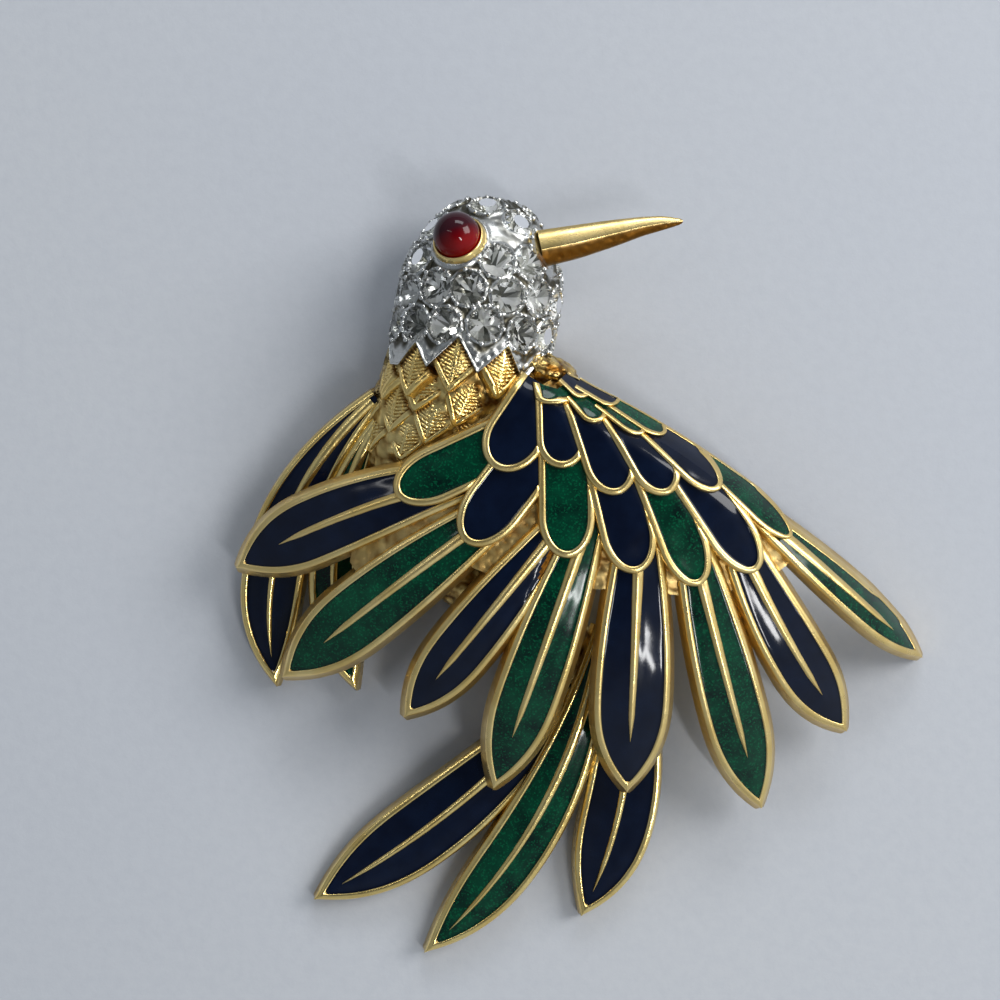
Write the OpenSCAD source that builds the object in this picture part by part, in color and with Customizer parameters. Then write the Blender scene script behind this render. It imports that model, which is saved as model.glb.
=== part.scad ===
// Hummingbird brooch lying face up: x to the right, y towards the crown of the head, z up

/* [Head] */
// Radius of the head at the neck
head_r = 7.2; // [6.5:0.1:8]
// Length of the head from the neck to the crown
head_l = 13.5; // [12.5:0.25:15]
// Lean of the head to the right
head_lean = 11; // [0:1:20]
// Thickness of the hollow head's wall
head_wall = 1.5; // [1.2:0.1:2]
// Height of the axis of the head above the resting plane
neck_z = 5; // [4.5:0.25:6]
// Diameter of the round clear stones
stone_d = 2.8; // [2.2:0.1:2.8]
// Diameter of the round eye
eye_d = 4; // [3:0.1:4.2]
// Thickness of the eye's gold cup
bezel_t = 0.4; // [0.3:0.05:0.6]
// Length of the beak outside the head
beak_l = 11.8; // [10:0.2:16]
// Width of the beak at the head
beak_w = 3.5; // [2.5:0.1:3.8]

/* [Body] */
// Length of the body from the neck to the tail
body_l = 32; // [30:0.5:36]
// Width of the body below the neck
body_w = 13; // [12:0.25:14]
// Thickness of the hollow body's wall
body_wall = 1.6; // [1.2:0.1:2.2]
// Height of the open back of body and head above the resting plane
back_z = 1.8; // [1.5:0.1:2.4]
// Width of a leaf scale on the breast
scale_w = 3.8; // [3:0.1:4]
// Length of a leaf scale on the breast
scale_l = 4.9; // [4:0.1:5.5]
// Height of the midrib of a leaf scale over its edges
scale_h = 0.45; // [0.2:0.05:0.8]

/* [Wings and tail] */
// Reach of the longest near wing feather from the shoulder
wing_l = 42.5; // [38:0.5:50]
// Height of the dome of the near wing
wing_top = 12; // [11.5:0.25:14]
// Fall of the dome at the reach of the wing
dome_drop = 10.6; // [9:0.2:11]
// Extra fall of the rolled leading edge
edge_drop = 3; // [1:0.25:3.5]
// Width of the rolled leading edge
edge_w = 3.6; // [2:0.2:5]
// Extra fall of the feather tips
tip_drop = 1.3; // [0.5:0.1:1.5]
// Width of the widest wing feather
feather_w = 6.6; // [5.5:0.1:7]
// Thickness of the long feathers
feather_t = 1.5; // [1.2:0.1:2]
// Step from one row of feathers to the next
layer_t = 0.4; // [0.3:0.05:0.5]
// Rise of a feather's middle over its edges
crown_h = 0.35; // [0.1:0.05:0.5]
// Length of the far wing
far_wing_l = 28; // [24:0.5:32]
// Length of the tail
tail_l = 35; // [30:0.5:40]

// Diameter of the hidden pegs that seat the near wing on the body
peg_d = 3; // [2:0.25:4]

/* [Enamel] */
// Width of the gold rims
rim_w = 0.5; // [0.35:0.05:0.6]
// Width of the gold midribs at their roots
rachis_w = 0.9; // [0.6:0.05:1.2]
// Depth of the enamel pockets
enamel_t = 0.5; // [0.35:0.05:0.7]
// Clearance between fitted pieces
gap = 0.05; // [0.03:0.01:0.08]

/* [Pin] */
// Diameter of the pin stem
pin_d = 0.9; // [0.7:0.1:1]
// Width of the pin's back bar
bar_w = 3; // [2:0.25:4]

/* [Hidden] */

// Places in plan
neck = [-10.15, 20.69];
shoulder = neck + [1.03 * head_r, -0.42 * head_r];
far_shoulder = neck + [-1.04 * head_r, -0.13 * body_l];
tail_root = neck + [0.36 * body_l, -0.82 * body_l];

// Colour families
GREEN = "darkgreen";
NAVY = "midnightblue";

// Near wing feathers: swing in degrees clockwise from the x axis, reach as a share of wing_l,
// bow as a share of the feather's own length, width as a share of feather_w
NEAR = [
  // name, row, colour, root swing, root reach, tip swing, tip reach, bow, width
  ["shoulder_cell_1", 0, NAVY, -18, 0.025, 29, 0.078, 0, 0.34],
  ["shoulder_cell_2", 0, NAVY, 4, 0.05, 21.5, 0.138, 0, 0.32],
  ["upper_cell_1", 1, GREEN, 98, 0.006, 83, 0.058, 0, 0.6],
  ["upper_cell_2", 1, GREEN, 31, 0.05, 44, 0.129, 0, 0.4],
  ["upper_cell_3", 1, GREEN, 26, 0.1, 33, 0.21, 0, 0.3],
  ["upper_cell_4", 1, GREEN, 19, 0.12, 27, 0.25, 0, 0.32],
  ["middle_cell_1", 2, NAVY, 124, 0.03, 124, 0.223, 0, 0.78],
  ["middle_cell_2", 2, NAVY, 77, 0.04, 86, 0.186, 0, 0.66],
  ["middle_cell_3", 2, NAVY, 44, 0.1, 62, 0.269, 0, 0.68],
  ["middle_cell_4", 2, NAVY, 31, 0.167, 46, 0.328, 0, 0.62],
  ["middle_cell_5", 2, NAVY, 26, 0.223, 34.5, 0.4, 0, 0.5],
  ["lower_cell_1", 3, GREEN, 129, 0.179, 144, 0.4, 0, 0.72],
  ["lower_cell_2", 3, NAVY, 103, 0.143, 118.5, 0.38, 0, 0.78],
  ["lower_cell_3", 3, GREEN, 83, 0.161, 86.5, 0.365, 0, 0.72],
  ["lower_cell_4", 3, NAVY, 59, 0.22, 67.5, 0.427, 0, 0.72],
  ["lower_cell_5", 3, GREEN, 45, 0.289, 55.5, 0.51, 0, 0.64],
  ["lower_cell_6", 3, NAVY, 35, 0.325, 44, 0.565, 0, 0.64],
  ["lower_cell_7", 3, GREEN, 28, 0.365, 34, 0.579, 0, 0.4],
  ["flight_cell_1", 4, NAVY, 134, 0.295, 149.5, 0.77, -0.035, 0.94],
  ["flight_cell_2", 4, GREEN, 115, 0.313, 132.5, 0.84, -0.01, 0.95],
  ["flight_cell_3", 4, NAVY, 90, 0.314, 114, 0.765, 0, 0.8],
  ["flight_cell_4", 4, GREEN, 80, 0.325, 98.5, 0.86, 0, 0.85],
  ["flight_cell_5", 4, NAVY, 64, 0.379, 80, 0.87, 0, 1],
  ["flight_cell_6", 4, GREEN, 52, 0.457, 64, 1, -0.01, 0.84],
  ["flight_cell_7", 4, NAVY, 42, 0.5, 50, 0.96, -0.03, 0.8],
  ["flight_cell_8", 4, GREEN, 34, 0.52, 36.5, 0.985, 0, 0.56]
];

// Low feathers: reach as a share of their own length, heights as shares of wing_top,
// roll as the rise of the left edge over the right one, as a share of the width
FAR = [
  // name, layer, colour, root swing, root reach, tip swing, tip reach, bow, width, heights, roll
  ["far_wing_cell_1", 1, NAVY, 140, 0.13, 111, 1.01, -0.13, 0.84, [0.5, 0.32, 0.12], 0],
  ["far_wing_cell_2", 0, GREEN, 110, 0.175, 96, 0.96, -0.11, 0.68, [0.5, 0.36, 0.16], 0]
];
TAIL = [
  ["tail_cell_1", 1, NAVY, 118, 0.15, 137.5, 1, 0.045, 1.0, [0.36, 0.28, 0.12], 0],
  ["tail_cell_2", 0, GREEN, 100, 0.05, 119, 0.93, 0.08, 0.84, [0.45, 0.36, 0.13], 0],
  ["tail_cell_3", 1, NAVY, 10, 0.06, 93.5, 0.72, 0.08, 1.0, [0.4, 0.32, 0.13], 0.1]
];

// Stones on the head: place along the head as a share of head_l, angles round its axis
STONES = [
  [0.05, [-68, -43]],
  [0.065, [-19]],
  [0.11, [9, 38]],
  [0.14, [63, 88]],
  [0.25, [-81, -56]],
  [0.295, [-31]],
  [0.32, [-7, 21]],
  [0.36, [47, 72]],
  [0.475, [-80, -54]],
  [0.53, [10]],
  [0.565, [36, 92]],
  [0.7, [-60]],
  [0.815, [29]],
  [0.88, [-78]],
  [0.9, [-12]],
  [0.935, [77]]
];
EYE = [0.62, -23];
BEAK = [0.7, 64];

// Leaf scales in the notches of the head: angle round its axis, rise of the upper corner over the
// neck as a share of scale_l
HEAD_SCALES = [[-72, -0.31], [-38, -0.19], [-7, 0.01], [28, 0.05], [61, -0.03]];
// Leaf scales on the body: place as a number of body sections, angles round the body
BODY_SCALES = [
  [0.99, [-56, -21, 14]],
  [1.5, [-73, -39, -5, 29]],
  [1.95, [-56, -21]]
];

// Body sections: place as a share of body_l from the neck, half width as a share of body_w,
// top as a share of the height of the head's top
BODY = [
  // x, y, half width, top
  [0, 0, 0.5, 0.95],
  [-0.06, -0.15, 0.5, 0.85],
  [-0.11, -0.29, 0.48, 0.72],
  [-0.06, -0.48, 0.44, 0.62],
  [0.08, -0.65, 0.35, 0.53],
  [0.25, -0.85, 0.27, 0.42],
  [0.35, -0.99, 0.2, 0.34]
];

// The leading edge is an arc through the shoulder and the last feather's tip
edge_swing = 36;
edge_bulge = 0.05 * wing_l;
edge_chord = 0.985 * wing_l;
edge_r = edge_chord * edge_chord / (8 * edge_bulge) + edge_bulge / 2;
edge_centre = (edge_chord / 2) * along(edge_swing)
  - (edge_r - edge_bulge) * along(edge_swing - 90) + [0, 0.02 * wing_l];
dome_centre = [0.03 * wing_l, -0.207 * wing_l];

// Sections of a feather from root to tip, and the corners of its outline in plan, which lie between them
LANCE_T = [0, 0.25, 0.5, 0.7, 0.83, 0.92, 1];
PLAN_LANCE_T = [0.01, 0.13, 0.37, 0.6, 0.78, 0.9, 0.975, 1];
PLAN_ROUND_T = [0, 0.6, 0.76, 0.88, 0.95, 0.99];
// Edge, crest and edge of a section: the crest lies a little off the middle, as a quill does
ACROSS = [-1, 0.15, 1];
tip_min = 0.04;
plate_t = 1.2 * feather_t;
plate_drop = 1.4 * enamel_t;

function along(swing) = [cos(swing), -sin(swing)];
function left_of(v) = [-v[1], v[0]];
function unit(v) = v / norm(v);

// A feather is [name, row, colour, root, bend, tip, half width, heights, roll]
function feather(f, length) =
  let (root = f[4] * length * along(f[3]), tip = f[6] * length * along(f[5]),
    bend = (root + tip) / 2 + 2 * f[7] * left_of(tip - root))
  [f[0], f[1], f[2], root, bend, tip, f[8] * feather_w / 2, f[9], f[10]];
near_feathers = [for (f = NEAR) feather(f, wing_l)];
far_feathers = [for (f = FAR) feather(f, far_wing_l)];
tail_feathers = [for (f = TAIL) feather(f, tail_l)];

function is_low(f) = is_list(f[7]);
function is_long(f) = is_low(f) || f[1] == 4;
function steps(f) = is_long(f) ? PLAN_LANCE_T : PLAN_ROUND_T;
function axis_at(f, t) = (1 - t) * (1 - t) * f[3] + 2 * t * (1 - t) * f[4] + t * t * f[5];
function side_at(f, t) = left_of(unit((1 - t) * (f[4] - f[3]) + t * (f[5] - f[4]) + 0.001 * (f[5] - f[3])));
function lance(t, start) =
  t < 0.6 ? start + (1 - start) * sin(90 * t / 0.6) : 1 - pow((t - 0.6) / 0.4, 2.5);
function round_end(t) = t < 0.6 ? 1 : sqrt(1 - pow((t - 0.6) / 0.4, 2));
function half_width(f, t) = max(tip_min, f[6] * (is_low(f) ? lance(t, 0.45) : is_long(f) ? lance(t, 0.62) : round_end(t)));

// Height of the near wing's dome at a place measured from the shoulder
function dome(p) =
  let (r = norm(p - dome_centre) / wing_l, in = edge_r - norm(p - edge_centre))
  wing_top - dome_drop * r * r - edge_drop * pow(max(0, 1 - max(0, in) / edge_w), 2);
function row_lift(row) = layer_t * (4.4 - row);
function lift(f, t) = -0.7 * layer_t * (1 - t) - tip_drop * t * t * t;
function low_height(h, t) = wing_top * ((1 - t) * (1 - t) * h[0] + 2 * t * (1 - t) * h[1] + t * t * h[2]);
function top_at(f, t, s) =
  is_low(f) ? low_height(f[7], t) + f[8] * s * half_width(f, t)
  : dome(axis_at(f, t) + s * half_width(f, t) * side_at(f, t)) + lift(f, t);
function spot(f, t, s, z) =
  let (p = axis_at(f, t) + s * half_width(f, t) * side_at(f, t)) [p[0], p[1], z];
function ring(f, t, up, down) = concat(
  [for (s = ACROSS) spot(f, t, s, top_at(f, t, s) + crown_h * (1 - s * s) + up)],
  [for (s = [1, -1]) spot(f, t, s, down > 0 ? max(0, top_at(f, t, s) - down) : -1)]);
function outline_points(f) = concat(
  [for (t = steps(f)) axis_at(f, t) + half_width(f, t) * side_at(f, t)],
  [for (i = [len(steps(f)) - 1:-1:0]) let (t = steps(f)[i]) axis_at(f, t) - half_width(f, t) * side_at(f, t)]);
function prism_faces(n) = concat(
  [[for (i = [0:n - 1]) i]], [[for (i = [0:n - 1]) 2 * n - 1 - i]],
  [for (i = [0:n - 1]) [i, n + i, n + (i + 1) % n, (i + 1) % n]]);

// One convex stretch between two rings of points
module stretch(a, b) {
  hull() polyhedron(points = concat(a, b), faces = prism_faces(len(a)));
}

// A feather's solid, its top moved up by a height and its underside a thickness below the surface,
// or below the resting plane where the thickness is 0
module blade(f, up, down) {
  t = LANCE_T;
  for (i = [0:len(t) - 2])
    stretch(ring(f, t[i], up, down), ring(f, t[i + 1], up, down));
}

module outline(f) {
  polygon(outline_points(f));
}

// The strip of the midrib in plan
module rachis(f) {
  end = is_low(f) ? 0.87 : 0.74;
  t = [0.02, 0.33, 0.6, end];
  polygon(concat(
    [for (u = t) axis_at(f, u) + rachis_w * (0.5 - 0.35 * u) * side_at(f, u)],
    [for (i = [len(t) - 1:-1:0]) axis_at(f, t[i]) - rachis_w * (0.5 - 0.35 * t[i]) * side_at(f, t[i])]));
}

// The pocket of one feather in plan, clear of the rows above it and of its next neighbours' rims
function is_next(f, g) = g[1] == f[1] && g[0] > f[0];
module pocket_plan(f, all) {
  difference() {
    intersection() {
      offset(delta = -rim_w) outline(f);
      if (!is_low(f)) translate(edge_centre) circle(edge_r - 0.5 * rim_w, $fn = 240);
    }
    offset(delta = gap) for (g = all) if (g[1] < f[1]) outline(g);
    offset(delta = -0.3 * rim_w) for (g = all) if (is_next(f, g)) outline(g);
    if (is_long(f)) rachis(f);
  }
}

// The dome of the near wing as a solid from below the resting plane up to a height over its surface,
// on a grid that runs along the leading edge and inwards from it
GRID_ALONG = [-0.24, -0.12, 0, 0.12, 0.24, 0.36, 0.48, 0.6, 0.72];
GRID_IN = [-0.05, 0, 0.33, 0.67, 1, 2.2, 3.5, 4.8, 6.2];
function grid_place(u, d) =
  let (turn = edge_swing - 90 + (u - edge_chord / 2) / edge_r * 180 / PI)
  edge_centre + (edge_r - d) * along(turn);
module under_dome(up) {
  n = len(GRID_ALONG);
  m = len(GRID_IN);
  places = [for (u = GRID_ALONG, d = GRID_IN) grid_place(u * wing_l, d * edge_w)];
  tops = [for (p = places) [p[0], p[1], dome(p) + up]];
  floor = [for (p = places) [p[0], p[1], -1]];
  rim = concat([for (j = [0:m - 2]) j], [for (i = [0:n - 2]) i * m + m - 1],
    [for (j = [m - 1:-1:1]) (n - 1) * m + j], [for (i = [n - 1:-1:1]) i * m]);
  faces = concat(
    [for (i = [0:n - 2], j = [0:m - 2]) let (a = i * m + j) each [[a, a + m, a + 1], [a + m, a + m + 1, a + 1]]],
    [for (i = [0:n - 2], j = [0:m - 2]) let (a = n * m + i * m + j)
      each [[a, a + 1, a + m], [a + m, a + 1, a + m + 1]]],
    [for (k = [0:len(rim) - 1]) let (a = rim[k], b = rim[(k + 1) % len(rim)])
      each [[a, b, a + n * m], [b, b + n * m, a + n * m]]]);
  polyhedron(points = concat(tops, floor), faces = faces);
}

// Everything under a feather's surface, lowered or raised by a height
module under(f, up) {
  if (is_long(f)) blade(f, up, 0);
  else under_dome(row_lift(f[1]) + up);
}

// Room for the enamel of one feather, up to above the wing
module pocket(f, all) {
  difference() {
    linear_extrude(2 * wing_top) pocket_plan(f, all);
    under(f, -enamel_t);
  }
}

module enamel(f, all) {
  color(f[2]) render() difference() {
    intersection() {
      linear_extrude(2 * wing_top) offset(delta = -gap) pocket_plan(f, all);
      under(f, -gap);
    }
    under(f, gap - enamel_t);
  }
}

// Pegs under the near wing: swing and reach of their places, and their lower end
PEGS = [[127, 0.27], [107, 0.37]];
peg_end = 0.4 * wing_top;
module pegs(grow) {
  translate([0, 0, peg_end]) for (q = PEGS) translate(q[1] * wing_l * along(q[0]))
    cylinder(h = 2 * wing_top, r = peg_d / 2 + grow, $fn = 32);
}

// The rows of covert feathers as steps of one dome, the plate under the long feathers lowest
module coverts() {
  difference() {
    union() {
      intersection() {
        linear_extrude(2 * wing_top) wing_plate();
        under_dome(-plate_drop);
      }
      for (row = [0:3]) intersection() {
        linear_extrude(2 * wing_top) for (f = near_feathers) if (f[1] == row) outline(f);
        under_dome(row_lift(row));
      }
    }
    under_dome(-plate_t);
  }
}

// The room the covert plate takes from what lies under it
module wing_room() {
  translate([shoulder[0], shoulder[1], 0]) difference() {
    linear_extrude(2 * wing_top) offset(delta = gap) {
      wing_plate();
      for (f = near_feathers) if (!is_long(f)) outline(f);
    }
    under_dome(-plate_t - gap);
  }
}

module near_wing_casting() {
  color("gold") render() difference() {
    translate([shoulder[0], shoulder[1], 0]) difference() {
      intersection() {
        union() {
          coverts();
          intersection() {
            pegs(0);
            under_dome(-plate_drop);
          }
          for (f = near_feathers) if (is_long(f)) blade(f, 0, feather_t);
        }
        translate([edge_centre[0], edge_centre[1], 0]) cylinder(h = 2 * wing_top, r = edge_r, $fn = 240);
      }
      for (f = near_feathers) pocket(f, near_feathers);
    }
    head_room();
  }
}

// The plate's outline: swing and reach of its corners
PLATE = [[150, 0.3], [134, 0.4], [115, 0.42], [90, 0.42], [70, 0.45], [55, 0.54], [42, 0.6], [33, 0.62]];
module wing_plate() {
  polygon(concat([[0, 0]], [for (q = PLATE) q[1] * wing_l * along(q[0])]));
}

module low_feathers(all) {
  difference() {
    for (f = all) blade(f, 0, feather_t);
    for (f = all) pocket(f, all);
  }
}

// Body sections as rings of points
head_top = neck_z + head_r;
function body_ring(i, wall) =
  let (b = BODY[i], here = neck + body_l * [b[0], b[1]],
    a = BODY[max(0, i - 1)], c = BODY[min(len(BODY) - 1, i + 1)],
    across = left_of(unit([c[0] - a[0], c[1] - a[1]])),
    w = b[2] * body_w - wall, rise = b[3] * head_top - neck_z * b[3] - wall)
  concat(
    [for (a = [-90:30:90]) [here[0] + across[0] * w * sin(a), here[1] + across[1] * w * sin(a),
      neck_z * b[3] + rise * cos(a)]],
    [for (s = [1, -1]) [here[0] + across[0] * w * s, here[1] + across[1] * w * s,
      wall > 0 ? back_z - 1 : back_z]]);

module body_casting() {
  color("goldenrod") render() difference() {
    union() {
      difference() {
        union() {
          for (i = [0:len(BODY) - 2]) stretch(body_ring(i, 0), body_ring(i + 1, 0));
          for (row = BODY_SCALES, a = row[1]) on_body(row[0], a) leaf_scale(head_wall);
        }
        head_room();
      }
      for (q = HEAD_SCALES) on_head(q[1] * scale_l - scale_l / 2 - gap, q[0], head_r - 0.2 * head_wall)
        leaf_scale(1.4 * head_wall);
      translate([far_shoulder[0], far_shoulder[1], 0]) low_feathers(far_feathers);
      translate([tail_root[0], tail_root[1], 0]) low_feathers(tail_feathers);
    }
    for (i = [0:len(BODY) - 4]) stretch(body_ring(i, body_wall), body_ring(i + 1, body_wall));
    translate([shoulder[0], shoulder[1], -peg_end]) pegs(gap);
    wing_room();
  }
}

// Places on the head: u along the axis from the neck, angle round the axis, on a radius
module on_head(u, angle, r) {
  translate([neck[0], neck[1], neck_z]) rotate([0, 0, -head_lean]) translate([0, u, 0])
    rotate([0, angle, 0]) translate([0, 0, r]) children();
}
function head_at(k) = k < 0.35 ? head_r : head_r * sqrt(1 - pow((k - 0.35) / 0.65, 1.8));
function head_tilt(k) = k < 0.35 ? 0 : atan((head_at(k - 0.01) - head_at(min(1, k + 0.01))) / (0.02 * head_l));
module on_surface(k, angle, sink) {
  on_head(k * head_l, angle, head_at(k)) rotate([-head_tilt(k), 0, 0]) translate([0, 0, -sink]) children();
}

// A revolved dome standing on the neck, its skirt reaching below the neck plane
skirt = 0.5 * scale_l;
module dome_solid(wall) {
  k = [0, 0.35, 0.5, 0.62, 0.74, 0.84, 0.92, 0.97, 1];
  translate([neck[0], neck[1], neck_z]) rotate([0, 0, -head_lean]) rotate([-90, 0, 0]) rotate([0, 0, 90])
    rotate_extrude($fn = 48) polygon(concat(
      [[0, -skirt - (wall > 0 ? 1 : 0)], [head_r - wall, -skirt - (wall > 0 ? 1 : 0)]],
      [for (q = k) [max(0, head_at(q) * (1 - wall / head_r)), q * (head_l - wall)]]));
}

// The room the head's skirt takes from the body and the near wing
module head_room() {
  translate([neck[0], neck[1], neck_z]) rotate([0, 0, -head_lean]) translate([0, -skirt - gap, 0])
    rotate([-90, 0, 0]) cylinder(h = head_l, r = 1.1 * head_r, $fn = 96);
}

// The notch over a leaf scale of the first row, cut square through the wall
module notch(angle, rise) {
  depth = skirt + rise + 1;
  half = depth * scale_w / scale_l;
  on_head(rise, angle, head_r - 2 * head_wall)
    linear_extrude(4 * head_wall) polygon([[0, 0], [half, -depth], [-half, -depth]]);
}

stone_r = stone_d / 2;
girdle_sink = 0.1 * stone_d;
pavilion = 0.4 * stone_d;
function eight(r, turn) = [for (i = [0:7]) [r * cos(45 * i + turn), r * sin(45 * i + turn)]];
// The eight-sided seat of a stone, clear of its girdle and pavilion and open to the outside
module stone_seat(k, angle) {
  on_surface(k, angle, girdle_sink) hull() {
    linear_extrude(stone_d) polygon(eight(stone_r + 1.1 * gap, 22.5));
    translate([0, 0, -pavilion - gap]) linear_extrude(gap) polygon(eight(2 * gap, 22.5));
  }
}

beak_base = 0.5 * beak_w;
beak_seat = 0.6 * head_wall;
module along_beak() {
  k = BEAK[0];
  on_head(k * head_l, BEAK[1], head_at(k) - beak_seat) rotate([0, -BEAK[1], 0])
    rotate([0, 0, 2 * head_lean]) children();
}

module head_casting() {
  eye_cut = eye_d / 2 + bezel_t + gap;
  color("silver") render() difference() {
    dome_solid(0);
    dome_solid(head_wall);
    translate([neck[0] - 2 * head_r, neck[1] - 2 * head_r, back_z - 4 * head_r])
      cube([4 * head_r, 4 * head_r + head_l, 4 * head_r]);
    for (q = HEAD_SCALES) notch(q[0], q[1] * scale_l);
    for (row = STONES, a = row[1]) stone_seat(row[0], a);
    on_surface(EYE[0], EYE[1], bezel_floor + gap) cylinder(h = eye_d, r = eye_cut, $fn = 32);
    along_beak() rotate([0, 90, 0]) cylinder(h = beak_l, r = beak_base + gap, $fn = 24);
  }
}

// Cut stone of eight sides: table, crown facets round the girdle, pavilion
function octagon(r, turn, z) = [for (p = eight(r, turn)) [p[0], p[1], z]];
module stone(k, angle) {
  points = concat(octagon(0.58 * stone_r, 0, 0.17 * stone_d), octagon(stone_r, 22.5, 0), [[0, 0, -pavilion]]);
  faces = concat([[7, 6, 5, 4, 3, 2, 1, 0]],
    [for (i = [0:7]) [i, (i + 1) % 8, 8 + i]], [for (i = [0:7]) [(i + 1) % 8, 8 + (i + 1) % 8, 8 + i]],
    [for (i = [0:7]) [8 + i, 8 + (i + 1) % 8, 16]]);
  on_surface(k, angle, girdle_sink) hull() polyhedron(points = points, faces = faces);
}
module pave_stones() {
  color("white") for (row = STONES, a = row[1]) stone(row[0], a);
}

bezel_floor = 0.3 * eye_d;
module eye_bezel() {
  color("gold") on_surface(EYE[0], EYE[1], bezel_floor) difference() {
    cylinder(h = bezel_floor + 0.14 * eye_d, r = eye_d / 2 + bezel_t, $fn = 48);
    translate([0, 0, bezel_t]) cylinder(h = eye_d, r = eye_d / 2 + gap, $fn = 48);
  }
}
module eye_cabochon() {
  flat = 0.7 * eye_d / 2;
  color("darkred") on_surface(EYE[0], EYE[1], bezel_floor - bezel_t - gap) {
    cylinder(h = flat, r = eye_d / 2, $fn = 48);
    translate([0, 0, flat]) intersection() {
      sphere(eye_d / 2, $fn = 48);
      cylinder(h = eye_d, r = eye_d, $fn = 48);
    }
  }
}

// Beak sections: place as a share of beak_l, half width as a share of half beak_w, bend as a share of beak_l
BEAK_SECTIONS = [[0, 0.94, 0], [0.25, 0.85, 0], [0.5, 0.68, -0.01], [0.72, 0.48, -0.02], [0.88, 0.34, -0.015],
  [0.98, 0.16, 0], [1, 0.06, 0]];
function beak_ring(b) =
  let (r = b[1] * beak_base, x = b[0] * (beak_l + beak_seat), y = -b[2] * beak_l)
  [[x, y - r, 0], [x, y - 0.75 * r, 0.4 * r], [x, y - 0.15 * r, 0.75 * r], [x, y + r, 0.1 * r],
    [x, y + 0.6 * r, -0.6 * r], [x, y - 0.6 * r, -0.6 * r]];
module beak() {
  color("goldenrod") along_beak()
    for (i = [0:len(BEAK_SECTIONS) - 2])
      stretch(beak_ring(BEAK_SECTIONS[i]), beak_ring(BEAK_SECTIONS[i + 1]));
}

// Leaf scale: a deep rhombus with a raised midrib
module leaf_scale(depth) {
  hull() {
    translate([0, 0, -depth]) linear_extrude(depth)
      polygon([[0, scale_l / 2], [scale_w / 2 - gap, 0], [0, -scale_l / 2], [gap - scale_w / 2, 0]]);
    translate([0, -0.36 * scale_l, 0]) rotate([-90, 0, 0])
      linear_extrude(0.72 * scale_l) polygon([[0, 0], [0.05 * scale_w, 0], [0, -scale_h]]);
  }
}

// The body's surface at a place along its sections and an angle round it
function mix(a, b, t) = a + (b - a) * t;
module on_body(s, angle) {
  i = floor(s);
  t = s - i;
  a = BODY[i];
  b = BODY[i + 1];
  dir = unit([b[0] - a[0], b[1] - a[1]]);
  w = mix(a[2], b[2], t) * body_w;
  top = mix(a[3], b[3], t);
  slope = atan((a[3] - b[3]) * head_top / (body_l * norm([b[0] - a[0], b[1] - a[1]])));
  translate([neck[0] + body_l * mix(a[0], b[0], t), neck[1] + body_l * mix(a[1], b[1], t), top * neck_z])
    rotate([0, 0, atan2(-dir[0], dir[1]) + 180])
    translate([w * sin(angle), 0, (head_top - neck_z) * top * cos(angle)]) rotate([0, angle, 0])
    rotate([slope * cos(angle), 0, 0]) children();
}

// Plain pin on the back: bar, hinge block, catch and stem in one piece
module pin_clasp() {
  reach = 0.66 * body_l;
  block = 1.1 * bar_w;
  bar_h = 0.45 * back_z;
  start = neck + [0, 0.16 * body_l];
  color("goldenrod") translate([start[0], start[1], 0]) rotate([0, 0, -84]) {
    translate([-block / 2, -bar_w / 2, back_z - bar_h - gap]) cube([reach + block, bar_w, bar_h]);
    for (x = [0, reach]) translate([x - block / 2, -bar_w / 2, 0]) cube([block, bar_w, back_z - gap - bar_h / 2]);
    translate([0, 0, pin_d / 2]) rotate([0, 90, 0]) cylinder(h = reach, r = pin_d / 2, $fn = 24);
  }
}

body_casting();
near_wing_casting();
head_casting();
pave_stones();
eye_bezel();
eye_cabochon();
beak();
pin_clasp();
for (f = near_feathers)
  translate([shoulder[0], shoulder[1], 0]) enamel(f, near_feathers);
for (f = far_feathers)
  translate([far_shoulder[0], far_shoulder[1], 0]) enamel(f, far_feathers);
for (f = tail_feathers)
  translate([tail_root[0], tail_root[1], 0]) enamel(f, tail_feathers);
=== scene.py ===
import bpy, bmesh, math
import numpy as np
from mathutils import Matrix, Vector


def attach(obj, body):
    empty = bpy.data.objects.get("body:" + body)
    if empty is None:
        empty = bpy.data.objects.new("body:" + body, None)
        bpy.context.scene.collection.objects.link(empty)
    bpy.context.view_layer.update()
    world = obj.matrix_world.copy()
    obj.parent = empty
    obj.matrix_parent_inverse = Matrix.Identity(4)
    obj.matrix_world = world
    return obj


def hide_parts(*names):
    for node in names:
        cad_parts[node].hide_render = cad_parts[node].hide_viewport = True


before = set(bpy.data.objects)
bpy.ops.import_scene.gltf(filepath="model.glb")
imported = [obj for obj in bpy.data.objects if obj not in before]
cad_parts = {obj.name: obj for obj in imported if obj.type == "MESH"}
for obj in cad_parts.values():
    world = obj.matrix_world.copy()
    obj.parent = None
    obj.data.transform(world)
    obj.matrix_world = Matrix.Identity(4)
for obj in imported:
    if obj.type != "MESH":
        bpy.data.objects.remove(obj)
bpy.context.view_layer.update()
scene = bpy.context.scene
rng = np.random.default_rng(7)

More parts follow.
